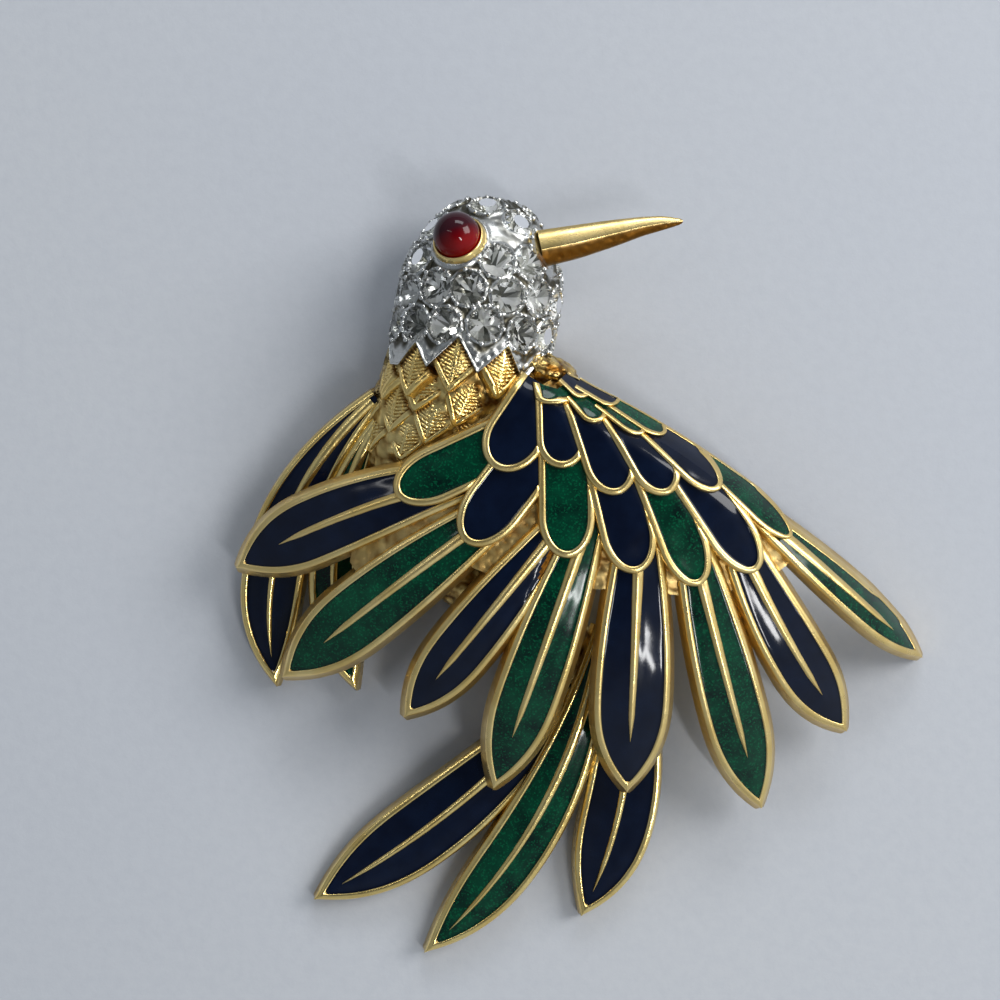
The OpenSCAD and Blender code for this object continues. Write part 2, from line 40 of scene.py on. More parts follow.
# ---------------------------------------------------------------- sizes of the brooch, in mm
head_r, head_l, head_lean, head_wall, neck_z = 7.2, 13.5, 11.0, 1.5, 5.0
stone_d, eye_d, bezel_t, beak_l, beak_w = 2.8, 4.0, 0.4, 11.8, 3.5
body_l, body_w, body_wall, back_z = 32.0, 13.0, 1.6, 1.8
scale_w, scale_l, scale_h = 3.8, 4.9, 0.45
wing_l, wing_top, dome_drop, edge_drop, edge_w = 42.5, 12.0, 10.6, 3.0, 3.6
tip_drop, feather_w, feather_t, layer_t, crown_h = 1.3, 6.6, 1.5, 0.4, 0.35
far_wing_l, tail_l = 28.0, 35.0
rachis_w, enamel_t, gap = 0.9, 0.5, 0.05
plate_t, plate_drop = 1.2 * feather_t, 1.4 * enamel_t
skirt = 0.5 * scale_l
head_top = neck_z + head_r

neck = np.array([-10.15, 20.69])
shoulder = neck + [1.03 * head_r, -0.42 * head_r]
far_shoulder = neck + [-1.04 * head_r, -0.13 * body_l]
tail_root = neck + [0.36 * body_l, -0.82 * body_l]

GREEN, NAVY = "green", "navy"
# name, row, colour, root swing, root reach, tip swing, tip reach, bow, width
NEAR = [
    ("shoulder_cell_1", 0, NAVY, -18, 0.025, 29, 0.078, 0, 0.34),
    ("shoulder_cell_2", 0, NAVY, 4, 0.05, 21.5, 0.138, 0, 0.32),
    ("upper_cell_1", 1, GREEN, 98, 0.006, 83, 0.058, 0, 0.6),
    ("upper_cell_2", 1, GREEN, 31, 0.05, 44, 0.129, 0, 0.4),
    ("upper_cell_3", 1, GREEN, 26, 0.1, 33, 0.21, 0, 0.3),
    ("upper_cell_4", 1, GREEN, 19, 0.12, 27, 0.25, 0, 0.32),
    ("middle_cell_1", 2, NAVY, 124, 0.03, 124, 0.223, 0, 0.78),
    ("middle_cell_2", 2, NAVY, 77, 0.04, 86, 0.186, 0, 0.66),
    ("middle_cell_3", 2, NAVY, 44, 0.1, 62, 0.269, 0, 0.68),
    ("middle_cell_4", 2, NAVY, 31, 0.167, 46, 0.328, 0, 0.62),
    ("middle_cell_5", 2, NAVY, 26, 0.223, 34.5, 0.4, 0, 0.5),
    ("lower_cell_1", 3, GREEN, 129, 0.179, 144, 0.4, 0, 0.72),
    ("lower_cell_2", 3, NAVY, 103, 0.143, 118.5, 0.38, 0, 0.78),
    ("lower_cell_3", 3, GREEN, 83, 0.161, 86.5, 0.365, 0, 0.72),
    ("lower_cell_4", 3, NAVY, 59, 0.22, 67.5, 0.427, 0, 0.72),
    ("lower_cell_5", 3, GREEN, 45, 0.289, 55.5, 0.51, 0, 0.64),
    ("lower_cell_6", 3, NAVY, 35, 0.325, 44, 0.565, 0, 0.64),
    ("lower_cell_7", 3, GREEN, 28, 0.365, 34, 0.579, 0, 0.4),
    ("flight_cell_1", 4, NAVY, 134, 0.295, 149.5, 0.77, -0.035, 0.94),
    ("flight_cell_2", 4, GREEN, 115, 0.313, 132.5, 0.84, -0.01, 0.95),
    ("flight_cell_3", 4, NAVY, 90, 0.314, 114, 0.765, 0, 0.8),
    ("flight_cell_4", 4, GREEN, 80, 0.325, 98.5, 0.86, 0, 0.85),
    ("flight_cell_5", 4, NAVY, 64, 0.379, 80, 0.87, 0, 1),
    ("flight_cell_6", 4, GREEN, 52, 0.457, 64, 1, -0.01, 0.84),
    ("flight_cell_7", 4, NAVY, 42, 0.5, 50, 0.96, -0.03, 0.8),
    ("flight_cell_8", 4, GREEN, 34, 0.52, 36.5, 0.985, 0, 0.56),
]
# the same, then the heights as shares of wing_top and the roll
FAR = [
    ("far_wing_cell_1", 1, NAVY, 140, 0.13, 111, 1.01, -0.13, 0.84, (0.5, 0.32, 0.12), 0),
    ("far_wing_cell_2", 0, GREEN, 110, 0.175, 96, 0.96, -0.11, 0.68, (0.5, 0.36, 0.16), 0),
]
TAIL = [
    ("tail_cell_1", 1, NAVY, 118, 0.15, 137.5, 1, 0.045, 1.0, (0.36, 0.28, 0.12), 0),
    ("tail_cell_2", 0, GREEN, 100, 0.05, 119, 0.93, 0.08, 0.84, (0.45, 0.36, 0.13), 0),
    ("tail_cell_3", 1, NAVY, 10, 0.06, 93.5, 0.72, 0.08, 1.0, (0.4, 0.32, 0.13), 0.1),
]
# place along the head as a share of head_l, angles round its axis
STONES = [(0.05, (-68, -43)), (0.065, (-19,)), (0.11, (9, 38)), (0.14, (63, 88)), (0.25, (-81, -56)),
          (0.295, (-31,)), (0.32, (-7, 21)), (0.36, (47, 72)), (0.475, (-80, -54)), (0.53, (10,)),
          (0.565, (36, 92)), (0.7, (-60,)), (0.815, (29,)), (0.88, (-78,)), (0.9, (-12,)), (0.935, (77,))]
EYE, BEAK = (0.62, -23), (0.7, 64)
HEAD_SCALES = [(-72, -0.31), (-38, -0.19), (-7, 0.01), (28, 0.05), (61, -0.03)]
BODY_SCALES = [(0.99, (-56, -21, 14)), (1.5, (-73, -39, -5, 29)), (1.95, (-56, -21))]
# x, y as shares of body_l, half width as a share of body_w, top as a share of head_top
BODY = [(0, 0, 0.5, 0.95), (-0.06, -0.15, 0.5, 0.85), (-0.11, -0.29, 0.48, 0.72), (-0.06, -0.48, 0.44, 0.62),
        (0.08, -0.65, 0.35, 0.53), (0.25, -0.85, 0.27, 0.42), (0.35, -0.99, 0.2, 0.34)]
BEAK_SECTIONS = [(0, 0.94, 0), (0.25, 0.85, 0), (0.5, 0.68, -0.01), (0.72, 0.48, -0.02), (0.88, 0.34, -0.015),
                 (0.98, 0.16, 0), (1, 0.06, 0)]
# swing and reach of the corners of the plate under the covert feathers
PLATE = [(150, 0.35), (139, 0.56), (133, 0.57), (123, 0.46), (115, 0.42), (90, 0.42), (70, 0.45), (55, 0.54),
         (42, 0.6), (33, 0.62)]
PEGS = [(127, 0.27), (107, 0.37)]


def along(swing):
    a = math.radians(swing)
    return np.array([math.cos(a), -math.sin(a)])


def left_of(v):
    return np.stack([-v[..., 1], v[..., 0]], -1)


def unit(v):
    return v / np.maximum(np.linalg.norm(v, axis=-1, keepdims=True), 1e-9)


def smooth(x):
    x = np.clip(x, 0, 1)
    return x * x * (3 - 2 * x)


edge_swing, edge_bulge, edge_chord = 36, 0.05 * wing_l, 0.985 * wing_l
edge_r = edge_chord ** 2 / (8 * edge_bulge) + edge_bulge / 2
edge_centre = edge_chord / 2 * along(edge_swing) - (edge_r - edge_bulge) * along(edge_swing - 90) \
    + np.array([0, 0.02 * wing_l])
dome_centre = np.array([0.03 * wing_l, -0.207 * wing_l])


def dome(p):
    r = np.linalg.norm(p - dome_centre, axis=-1) / wing_l
    inside = edge_r - np.linalg.norm(p - edge_centre, axis=-1)
    return wing_top - dome_drop * r * r - edge_drop * np.maximum(0, 1 - np.maximum(0, inside) / edge_w) ** 2


# ---------------------------------------------------------------- meshes
class Pile:
    """Vertices in mm with a painted shade from 0, proud and left bright, to 1, deep and painted dark."""

    def __init__(self):
        self.v, self.f, self.s, self.n, self.m = [], [], [], 0, []

    def add(self, v, f, shade=0.0, mat=0):
        v = np.asarray(v, float).reshape(-1, 3)
        self.v.append(v)
        self.s.append(np.broadcast_to(np.asarray(shade, float).reshape(-1), (len(v),)).copy())
        self.f += [tuple(int(i) + self.n for i in face) for face in f]
        self.m += [mat] * len(f)
        self.n += len(v)

    def piece(self, name, materials, replaces=(), merge=1e-4, sharp=None):
        me = bpy.data.meshes.new(name)
        v = np.concatenate(self.v)
        me.from_pydata((v * 0.001).tolist(), [], self.f)
        a = me.attributes.new("shade", "FLOAT", "POINT")
        a.data.foreach_set("value", np.concatenate(self.s))
        for m in materials:
            me.materials.append(m)
        me.polygons.foreach_set("material_index", self.m)
        bm = bmesh.new()
        bm.from_mesh(me)
        if merge:
            bmesh.ops.remove_doubles(bm, verts=bm.verts, dist=merge * 0.001)
        bmesh.ops.dissolve_degenerate(bm, dist=1e-7, edges=bm.edges)
        bmesh.ops.recalc_face_normals(bm, faces=bm.faces)
        for face in bm.faces:
            face.smooth = sharp != 0
        if sharp:
            for e in bm.edges:
                if len(e.link_faces) == 2 and e.calc_face_angle(0) > math.radians(sharp):
                    e.smooth = False
        bm.to_mesh(me)
        bm.free()
        ob = bpy.data.objects.new(name, me)
        scene.collection.objects.link(ob)
        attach(ob, "root")
        if replaces:
            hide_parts(*replaces)
        return ob


def grid_faces(n, m, closed_n=False, closed_m=False):
    out = []
    for i in range(n if closed_n else n - 1):
        for j in range(m if closed_m else m - 1):
            a, b = (i % n) * m, ((i + 1) % n) * m
            out.append((a + j, b + j, b + (j + 1) % m, a + (j + 1) % m))
    return out


# ---------------------------------------------------------------- feathers
RIM_D = np.array([0, 0.03, 0.09, 0.2, 0.34, 0.48, 0.57, 0.63, 0.69])
EDGE_RIM = 0.5
RIM_Z = np.array([-0.12, -0.04, 0.01, 0.045, 0.055, 0.035, -0.02, -0.11, -0.25])
# painted shade across a rim: darker at its outer foot and where it drops to the enamel
RIM_PAINTED_SHADE = np.array([0.4, 0.1, 0.0, 0.0, 0.0, 0.0, 0.1, 0.7, 1.0])


class Feather:
    def __init__(self, row, length, origin, index):
        self.name, self.row, self.colour = row[:3]
        self.root, self.tip = row[4] * length * along(row[3]), row[6] * length * along(row[5])
        self.bend = (self.root + self.tip) / 2 + 2 * row[7] * left_of(self.tip - self.root)
        self.w = row[8] * feather_w / 2
        self.low = len(row) > 9
        self.heights, self.roll = (row[9], row[10]) if self.low else (None, 0)
        self.long = self.low or self.row == 4
        self.crown = crown_h if self.long else 0.35 * crown_h
        self.origin, self.index = np.asarray(origin, float), index
        if self.long:
            start, steps = (-0.1 if self.low else -0.06), 28
            point = 1 - (1 - np.linspace(0, 1, 26)) ** 1.5
        else:
            # the roots of the larger coverts run on under the row above
            start, steps = (-0.22 if row[4] >= 0.1 and self.row > 1 else 0), 22
            point = np.sin(np.linspace(0, np.pi / 2, 18))
        self.t = np.concatenate([np.linspace(start, 0.6, steps)[:-1], 0.6 + 0.4 * point])
        t = self.t
        a, n, w = self.axis(t), self.side(t), self.width(t)
        left = w.copy()
        if not self.low:
            # the rolled leading edge cuts the feathers' left sides
            rel = a - edge_centre
            b = np.sum(rel * n, -1)
            reach = -b + np.sqrt(np.maximum(0, b * b - (np.sum(rel * rel, -1) - edge_r ** 2)))
            left = np.minimum(w, np.maximum(reach, 0.12))
        self.half = np.maximum((left + w) / 2, 0.01)
        self.mid = a + ((left - w) / 2)[:, None] * n
        self.normal = n
        self.speed = np.maximum(np.linalg.norm(np.gradient(self.mid, t, axis=0), axis=1), 1e-3)
        slope = np.gradient(self.half, t)
        inner = np.clip(t + self.half * slope / self.speed ** 2, t[0], 1)
        self.inner_t = np.minimum.accumulate(np.maximum.accumulate(inner)[::-1])[::-1]
        if not self.long:
            self.inner_t = np.minimum(self.inner_t, max(0.6, 1 - self.w / self.speed[-1]))
        # the rim is narrower along the leading edge
        cut = smooth((w - left) / 0.1) if not self.low else np.zeros(len(t))
        small = min(1.0, max(0.62, self.w / 1.9))
        self.rim = small * np.concatenate([1 - (1 - EDGE_RIM) * cut, np.ones(len(t) - 1)])
        self.loop = np.concatenate([self.mid + self.half[:, None] * n, (self.mid - self.half[:, None] * n)[::-1]])

    def axis(self, t):
        t = np.asarray(t)[..., None]
        return (1 - t) ** 2 * self.root + 2 * t * (1 - t) * self.bend + t * t * self.tip

    def side(self, t):
        t = np.asarray(t)[..., None]
        return left_of(unit((1 - t) * (self.bend - self.root) + t * (self.tip - self.bend)
                            + 0.001 * (self.tip - self.root)))

    def width(self, t):
        t = np.asarray(t)
        start = 0.45 if self.low else 0.62
        if self.long:
            w = np.where(t < 0.6, start + (1 - start) * np.sin(np.pi / 2 * t / 0.6),
                         1 - np.maximum(0, (t - 0.6) / 0.4) ** 2.5)
        else:
            w = np.sqrt(np.maximum(0, 1 - np.maximum(0, (t - 0.6) / 0.4) ** 2))
        return np.maximum(0.03, self.w * w)

    def where(self, p):
        """The place t along the axis and the place s across, -1 to 1, of points in plan."""
        tt = np.linspace(0, 1, 121)
        a = self.axis(tt)
        d = np.linalg.norm(p[:, None, :] - a[None], axis=-1)
        t = tt[np.argmin(d, 1)]
        s = np.sum((p - self.axis(t)) * self.side(t), -1) / self.width(t)
        return t, np.clip(s, -1.2, 1.2)

    def height(self, p, t, s, crown=None):
        c = self.crown if crown is None else crown
        if self.low:
            h = self.heights
            z = wing_top * ((1 - t) ** 2 * h[0] + 2 * t * (1 - t) * h[1] + t * t * h[2])
            z = z + self.roll * s * self.width(t)
        elif self.long:
            z = dome(p) - 0.7 * layer_t * (1 - t) - tip_drop * t ** 3
        else:
            z = dome(p) + layer_t * (4.4 - self.row)
        return z + c * (1 - np.clip(s, -1, 1) ** 2) + 0.02 * self.index

    def net(self, depths, inner):
        """Points from the outline inwards: fixed depths first, then shares of what is left."""
        t2 = np.concatenate([self.t, self.t[::-1][1:]])
        it = np.concatenate([self.inner_t, self.inner_t[::-1][1:]])
        mid = np.stack([np.interp(it, self.t, self.mid[:, c]) for c in (0, 1)], 1)
        b = np.concatenate([self.loop[:len(self.t)], self.loop[len(self.t):][1:]])
        d = np.maximum(np.linalg.norm(mid - b, axis=1), 1e-4)
        last = max(depths)
        share = [np.minimum(1, k * self.rim / d) for k in depths]
        base = np.minimum(1, last * self.rim / d)
        share += [base + (1 - base) * k for k in inner]
        share = np.stack(share, 1)
        p = b[:, None, :] + (mid - b)[:, None, :] * share[..., None]
        depth = share * (d / self.rim)[:, None]
        t = t2[:, None] + (it - t2)[:, None] * share
        return p, t, depth

    def across(self, p, t):
        a, n, w = self.axis(t), self.side(t), self.width(t)
        return np.clip(np.sum((p - a) * n, -1) / w, -1, 1)


def inside_depth(loop, p):
    """How far points lie inside an outline, negative outside."""
    a, b = loop, np.roll(loop, -1, 0)
    ab = b - a
    ap = p[:, None, :] - a[None]
    k = np.clip(np.sum(ap * ab, -1) / np.maximum(np.sum(ab * ab, -1), 1e-12), 0, 1)
    dist = np.linalg.norm(ap - k[..., None] * ab, axis=-1).min(1)
    cross = ((a[None, :, 1] > p[:, None, 1]) != (b[None, :, 1] > p[:, None, 1])) & (
        p[:, None, 0] < a[None, :, 0] + (p[:, None, 1] - a[None, :, 1]) * ab[None, :, 0]
        / np.where(np.abs(ab[None, :, 1]) < 1e-12, 1e-12, ab[None, :, 1]))
    return np.where(cross.sum(1) % 2 == 1, dist, -dist)


def tuck(f, all_f, p, z, start, slope):
    """Lets a surface dive under the feathers that lie over it."""
    flat, zz = p.reshape(-1, 2), z.reshape(-1).copy()
    lo, hi = flat.min(0), flat.max(0)
    for g in all_f:
        if g is f or not (g.row < f.row or (g.row == f.row and g.name > f.name)):
            continue
        gl, gh = g.loop.min(0), g.loop.max(0)
        if (gl - 0.4 > hi).any() or (gh + 0.4 < lo).any():
            continue
        d = inside_depth(g.loop, flat)
        hit = np.where(d > -0.4)[0]
        if len(hit):
            t, s = g.where(flat[hit])
            over = g.height(flat[hit], t, s, 0) + start - slope * np.minimum(d[hit], 0.3 if slope > 1 else 1.5)
            zz[hit] = np.minimum(zz[hit], over)
    return zz.reshape(z.shape)


def feather_metal(pile, f, all_f, thick):
    inner = (0.2, 0.6, 1.0)
    p, t, depth = f.net(tuple(RIM_D), inner)
    s = f.across(p, t)
    top = f.height(p, t, s) + np.interp(depth, RIM_D, RIM_Z)
    flat_end = depth[:, -1:] < 0.67
    # where the rims meet at a tip the metal stays proud
    top = np.where(flat_end, f.height(p, t, s) + np.interp(np.minimum(depth, 0.3), RIM_D, RIM_Z), top)
    shade = np.interp(depth, RIM_D, RIM_PAINTED_SHADE)
    shade = np.where(flat_end, np.minimum(shade, 0.2), shade)
    base = f.height(p, t, s)
    top = tuck(f, all_f, p, top, 0.1, 1.6)
    if f.long:
        bottom = base - thick
    else:
        bottom = dome(p) - plate_t + 0.03 + 0.02 * f.row
    bottom = np.maximum(bottom, 0.02)
    top = np.maximum(top, bottom + 0.15)
    b = p[:, 0]
    n = unit(b - p[:, 1])
    wall = []
    draft = 1.9 if f.long and not f.low else 1.0
    for dz, grow in ((0.2, 0.05 * draft), (0.55, 0.16 * draft), (0.9, 0.22 * draft)):
        wall.append(np.column_stack([b + grow * n, top[:, 0] + (bottom[:, 0] - top[:, 0]) * dz]))
    under = np.concatenate([p, bottom[..., None]], -1)[:, [0, 4, 8, 9, 11]]
    over = np.concatenate([p, top[..., None]], -1)
    cols = [under[:, k] for k in (4, 3, 2, 1, 0)] + wall[::-1] + [over[:, k] for k in range(over.shape[1])]
    # painted shade: undersides and side walls darker than the rim tops
    painted_shade = [np.full(len(p), 0.35)] * 5 + [np.full(len(p), 0.55)] * 2 + [np.full(len(p), 0.4)] \
        + [shade[:, k] for k in range(over.shape[1])]
    v = np.stack(cols, 1)
    v[..., :2] += f.origin
    pile.add(v, grid_faces(v.shape[0], v.shape[1]), np.stack(painted_shade, 1))
    if f.long:
        rachis(pile, f, all_f)


def rachis(pile, f, all_f):
    end = 0.9 if f.low else 0.78
    u = np.linspace(-0.08 if f.low else 0.02, end, 36)
    half = 1.2 * rachis_w * (0.5 - 0.35 * u) * np.minimum(1, ((end - u) / 0.1)) ** 0.7
    half = np.maximum(half, 0.01)
    k = np.array([-1.15, -1, -0.72, -0.3, 0, 0.3, 0.72, 1, 1.15])
    h = np.array([-0.3, -0.12, 0.02, 0.085, 0.1, 0.085, 0.02, -0.12, -0.3])
    p = f.axis(u)[:, None, :] + (half[:, None] * k)[..., None] * f.side(u)[:, None, :]
    t = np.broadcast_to(u[:, None], p.shape[:2])
    z = f.height(p, t, f.across(p, t)) + h * np.minimum(1, half[:, None] / 0.12)
    z = tuck(f, all_f, p, z, 0.05, 1.6)
    v = np.concatenate([p + f.origin, z[..., None]], -1)
    # painted shade: the midrib's sides darker where they meet the vane
    painted_shade = np.broadcast_to(np.array([1, 0.7, 0.1, 0, 0, 0, 0.1, 0.7, 1.0]), p.shape[:2])
    pile.add(v, grid_faces(len(u), len(k)), painted_shade)


def feather_enamel(f, all_f, materials):
    inner = (0.12, 0.25, 0.4, 0.55, 0.7, 0.85, 1.0)
    p, t, depth = f.net((0.59, 0.61, 0.65, 0.73, 0.85, 1.0), inner)
    s = f.across(p, t)
    d_all = np.max(depth, 1, keepdims=True)
    dish = np.interp(depth, (0.59, 0.65, 0.75, 0.9, 1.1), (-0.05, -0.075, -0.1, -0.115, -0.12))
    if f.long:
        # the glass also climbs a little at the midrib
        lat = np.abs(s) * f.width(t)
        rw = rachis_w * (0.5 - 0.35 * t)
        dish = dish + 0.05 * np.exp(-np.maximum(0, lat - rw) / 0.12) * (t < 0.8)
    top = f.height(p, t, s) + dish
    top = np.where(d_all < 0.65, top - 0.3, top)
    wave = 0.012 * np.sin(2.1 * p[..., 0] + 1.3 * f.index) * np.sin(1.7 * p[..., 1] + f.index)
    top = tuck(f, all_f, p, top + wave, -0.1, 0.2)
    v = np.concatenate([p, top[..., None]], -1)
    low = v[:, 0:1].copy()
    low[..., 2] -= 0.4
    v = np.concatenate([low, v], 1)
    v[..., :2] += f.origin
    pile = Pile()
    # painted shade: the enamel darker near its rims
    edge = np.interp(np.concatenate([depth[:, :1], depth], 1), (0.59, 0.65, 0.85), (1.0, 0.7, 0.0))
    pile.add(v, grid_faces(v.shape[0], v.shape[1]), edge)
    pile.piece("enamel_" + f.name, [materials[f.colour]], [f.name])


near = [Feather(r, wing_l, shoulder, i) for i, r in enumerate(NEAR)]
for i, f in enumerate(near):
    f.index = i - min(k for k, g in enumerate(near) if g.row == f.row)
far = [Feather(r, far_wing_l, far_shoulder, i) for i, r in enumerate(FAR)]
tail = [Feather(r, tail_l, tail_root, i) for i, r in enumerate(TAIL)]


# ---------------------------------------------------------------- materials
def material(name):
    m = bpy.data.materials.new(name)
    m.use_nodes = True
    nt = m.node_tree
    nt.nodes.clear()
    out = nt.nodes.new("ShaderNodeOutputMaterial")
    bsdf = nt.nodes.new("ShaderNodeBsdfPrincipled")
    nt.links.new(bsdf.outputs[0], out.inputs["Surface"])
    return m, nt, bsdf


def node(nt, kind, inputs=(), **props):
    n = nt.nodes.new(kind)
    for k, v in props.items():
        setattr(n, k, v)
    for k, v in dict(inputs).items():
        if hasattr(v, "is_output"):
            nt.links.new(v, n.inputs[k])
        else:
            n.inputs[k].default_value = v
    return n


def coords(nt):
    return node(nt, "ShaderNodeTexCoord").outputs["Object"]


def noise(nt, scale, detail=3.0, rough=0.55, stretch=None):
    c = coords(nt)
    if stretch:
        c = node(nt, "ShaderNodeMapping", {"Vector": c, "Scale": stretch}).outputs[0]
    ins = {"Vector": c, "Scale": scale, "Detail": detail, "Roughness": rough}
    return node(nt, "ShaderNodeTexNoise", ins).outputs[0]


def ramp(nt, fac, stops):
    r = node(nt, "ShaderNodeValToRGB", {"Fac": fac})
    el = r.color_ramp.elements
    while len(el) < len(stops):
        el.new(0.5)
    for e, (pos, col) in zip(el, stops):
        e.position = pos
        e.color = (*col, 1) if len(col) == 3 else col
    return r.outputs[0]


def mix(nt, fac, a, b, mode="MIX"):
    n = nt.nodes.new("ShaderNodeMix")
    n.data_type, n.blend_type = "RGBA", mode
    for i, v in ((0, fac), (6, a), (7, b)):
        if hasattr(v, "is_output"):
            nt.links.new(v, n.inputs[i])
        else:
            n.inputs[i].default_value = (*v, 1) if isinstance(v, tuple) and len(v) == 3 else v
    return n.outputs[2]


def span(nt, v, lo, hi):
    return node(nt, "ShaderNodeMapRange", {0: v, 1: 0.0, 2: 1.0, 3: lo, 4: hi}).outputs[0]


def bump(nt, height, strength, distance, normal=None):
    ins = {"Height": height, "Strength": strength, "Distance": distance}
    if normal is not None:
        ins["Normal"] = normal
    return node(nt, "ShaderNodeBump", ins).outputs[0]


def metal(name, bright, mid, dark, rough, grain, cast):
    """Cast and plated metal: its own colour where proud, painted darker with shade in its hollows and creases, with a
    fine cast grain.
    """
    m, nt, b = material(name)
    shade = node(nt, "ShaderNodeAttribute", attribute_name="shade").outputs["Fac"]
    big, fine = noise(nt, 260, 4), noise(nt, 1500, 3, 0.6)
    col = mix(nt, ramp(nt, big, [(0.35, (0, 0, 0)), (0.65, (1, 1, 1))]), mid, bright)
    # painted shade: the shade attribute pulls the colour towards the dark hollow colour
    painted_hollow_shade = ramp(nt, shade, [(0.0, (0, 0, 0)), (0.35, (0.12,) * 3), (1.0, (1, 1, 1))])
    col = mix(nt, painted_hollow_shade, col, dark)
    b.inputs["Metallic"].default_value = 1.0
    nt.links.new(col, b.inputs["Base Color"])
    r = span(nt, noise(nt, 700, 3), rough[0], rough[1])
    extra = node(nt, "ShaderNodeMath", {0: shade, 1: 0.18}, operation="MULTIPLY").outputs[0]
    nt.links.new(node(nt, "ShaderNodeMath", {0: r, 1: extra}, operation="ADD").outputs[0], b.inputs["Roughness"])
    n1 = bump(nt, fine, grain, 0.00006)
    lumps = node(nt, "ShaderNodeTexVoronoi", {"Vector": coords(nt), "Scale": 1500.0}, feature="SMOOTH_F1").outputs[0]
    force = node(nt, "ShaderNodeMath", {0: shade, 1: cast}, operation="MULTIPLY").outputs[0]
    n2 = bump(nt, lumps, force, 0.0002, n1)
    nt.links.new(n2, b.inputs["Normal"])
    return m


def enamel(name, base, light, rough, sparkle):
    """Fired glass over metal: deep colour, a clear glossy top and very slight ripples."""
    m, nt, b = material(name)
    cloud = noise(nt, 420, 3)
    col = mix(nt, ramp(nt, cloud, [(0.3, (0, 0, 0)), (0.75, (1, 1, 1))]), base, light)
    # painted shade: the glass colour darker towards its rims
    rim = node(nt, "ShaderNodeAttribute", attribute_name="shade").outputs["Fac"]
    col = mix(nt, ramp(nt, rim, [(0.0, (0, 0, 0)), (1.0, (0.85,) * 3)]), col, tuple(0.35 * c for c in base))
    if sparkle:
        v = node(nt, "ShaderNodeTexVoronoi", {"Vector": coords(nt), "Scale": 8000.0})
        fleck = ramp(nt, node(nt, "ShaderNodeSeparateColor", {0: v.outputs["Color"]}).outputs[0],
                     [(0.72, (0, 0, 0)), (0.98, (1, 1, 1))])
        col = mix(nt, mix(nt, 0.5, (0, 0, 0), fleck, "MULTIPLY"), col, sparkle)
        col = mix(nt, node(nt, "ShaderNodeMath", {0: fleck, 1: 0.45}, operation="MULTIPLY").outputs[0], col, sparkle)
    nt.links.new(col, b.inputs["Base Color"])
    b.inputs["Roughness"].default_value = rough
    b.inputs["IOR"].default_value = 1.5
    b.inputs["Specular IOR Level"].default_value = 0.3
    nt.links.new(bump(nt, noise(nt, 500, 2), 0.06, 0.00012), b.inputs["Normal"])
    return m


champagne = metal("champagne_gold", (0.92, 0.71, 0.31), (0.80, 0.57, 0.20), (0.17, 0.07, 0.01), (0.21, 0.37), 0.35, 0.9)
cast_gold = metal("cast_gold", (0.97, 0.76, 0.32), (0.85, 0.60, 0.20), (0.17, 0.07, 0.01), (0.13, 0.31), 0.6, 1.2)
pin_gold = metal("pin_gold", (0.80, 0.62, 0.32), (0.70, 0.51, 0.23), (0.30, 0.17, 0.05), (0.22, 0.34), 0.2, 0.3)
silver = metal("rhodium_silver", (0.64, 0.64, 0.62), (0.46, 0.46, 0.44), (0.045, 0.038, 0.018), (0.16, 0.32), 0.2, 0.8)
beak_gold = metal("beak_gold", (0.70, 0.53, 0.24), (0.60, 0.44, 0.17), (0.17, 0.07, 0.01), (0.22, 0.32), 0.2, 0.9)
enamels = {
    NAVY: enamel("navy_enamel", (0.0012, 0.0030, 0.011), (0.0025, 0.0065, 0.021), 0.10, None),
    GREEN: enamel("green_enamel", (0.0, 0.008, 0.006), (0.0, 0.048, 0.022), 0.12, (0.001, 0.13, 0.050)),
}

# ---------------------------------------------------------------- near wing
wing = Pile()
for f in near:
    feather_metal(wing, f, near, feather_t)


def worley(p, cell, seed=3):
    """Distance from each point to the nearest of a scatter of seeds, as a share of the cell."""
    r = np.random.default_rng(seed)
    lo, hi = p.min(0) - cell, p.max(0) + cell
    count = np.maximum(1, np.ceil((hi - lo) / cell)).astype(int) + 1
    offset = r.random((*count, p.shape[1]))
    q = (p - lo) / cell
    home = np.floor(q).astype(int)
    best = np.full(len(p), 9.0)
    for step in np.stack(np.meshgrid(*[(-1, 0, 1)] * p.shape[1], indexing="ij"), -1).reshape(-1, p.shape[1]):
        c = np.clip(home + step, 0, count - 1)
        seeds = c + offset[tuple(c.T)]
        best = np.minimum(best, np.linalg.norm(q - seeds, axis=1))
    return best


def wing_plate(pile):
    sw = np.linspace(150, 33, 60)
    reach = np.interp(sw[::-1], [q[0] for q in PLATE[::-1]], [q[1] for q in PLATE[::-1]])[::-1]
    k = np.linspace(0.02, 1, 44)
    p = np.stack([along(a) * wing_l for a in sw])[:, None, :] * (reach[:, None] * k)[..., None]
    r = np.linalg.norm(p - edge_centre, axis=-1)
    p = edge_centre + (p - edge_centre) * np.minimum(1, (edge_r - 0.05) / r)[..., None]
    flat = p.reshape(-1, 2)
    lump = worley(flat, 0.8).reshape(p.shape[:2])
    top = dome(p) - plate_drop + 0.2 * np.maximum(0, 1 - lump ** 2 * 2.2) - 0.05
    bottom = dome(p) - plate_t
    a = np.concatenate([p + shoulder, top[..., None]], -1)
    b = np.concatenate([p + shoulder, bottom[..., None]], -1)
    ring = np.concatenate([a, b[:, ::-1]], 1)
    # painted shade: the plate under the feathers darker overall and darker still in the hollows between its lumps; its
    # underside mid dark
    shade = np.concatenate([np.clip(0.34 + 0.8 * lump, 0, 1), np.full(lump.shape, 0.55)], 1)
    n, m = ring.shape[:2]
    faces = grid_faces(n, m, closed_m=True)
    faces.append(tuple(range(m)))
    faces.append(tuple((n - 1) * m + j for j in range(m))[::-1])
    pile.add(ring, faces, shade)


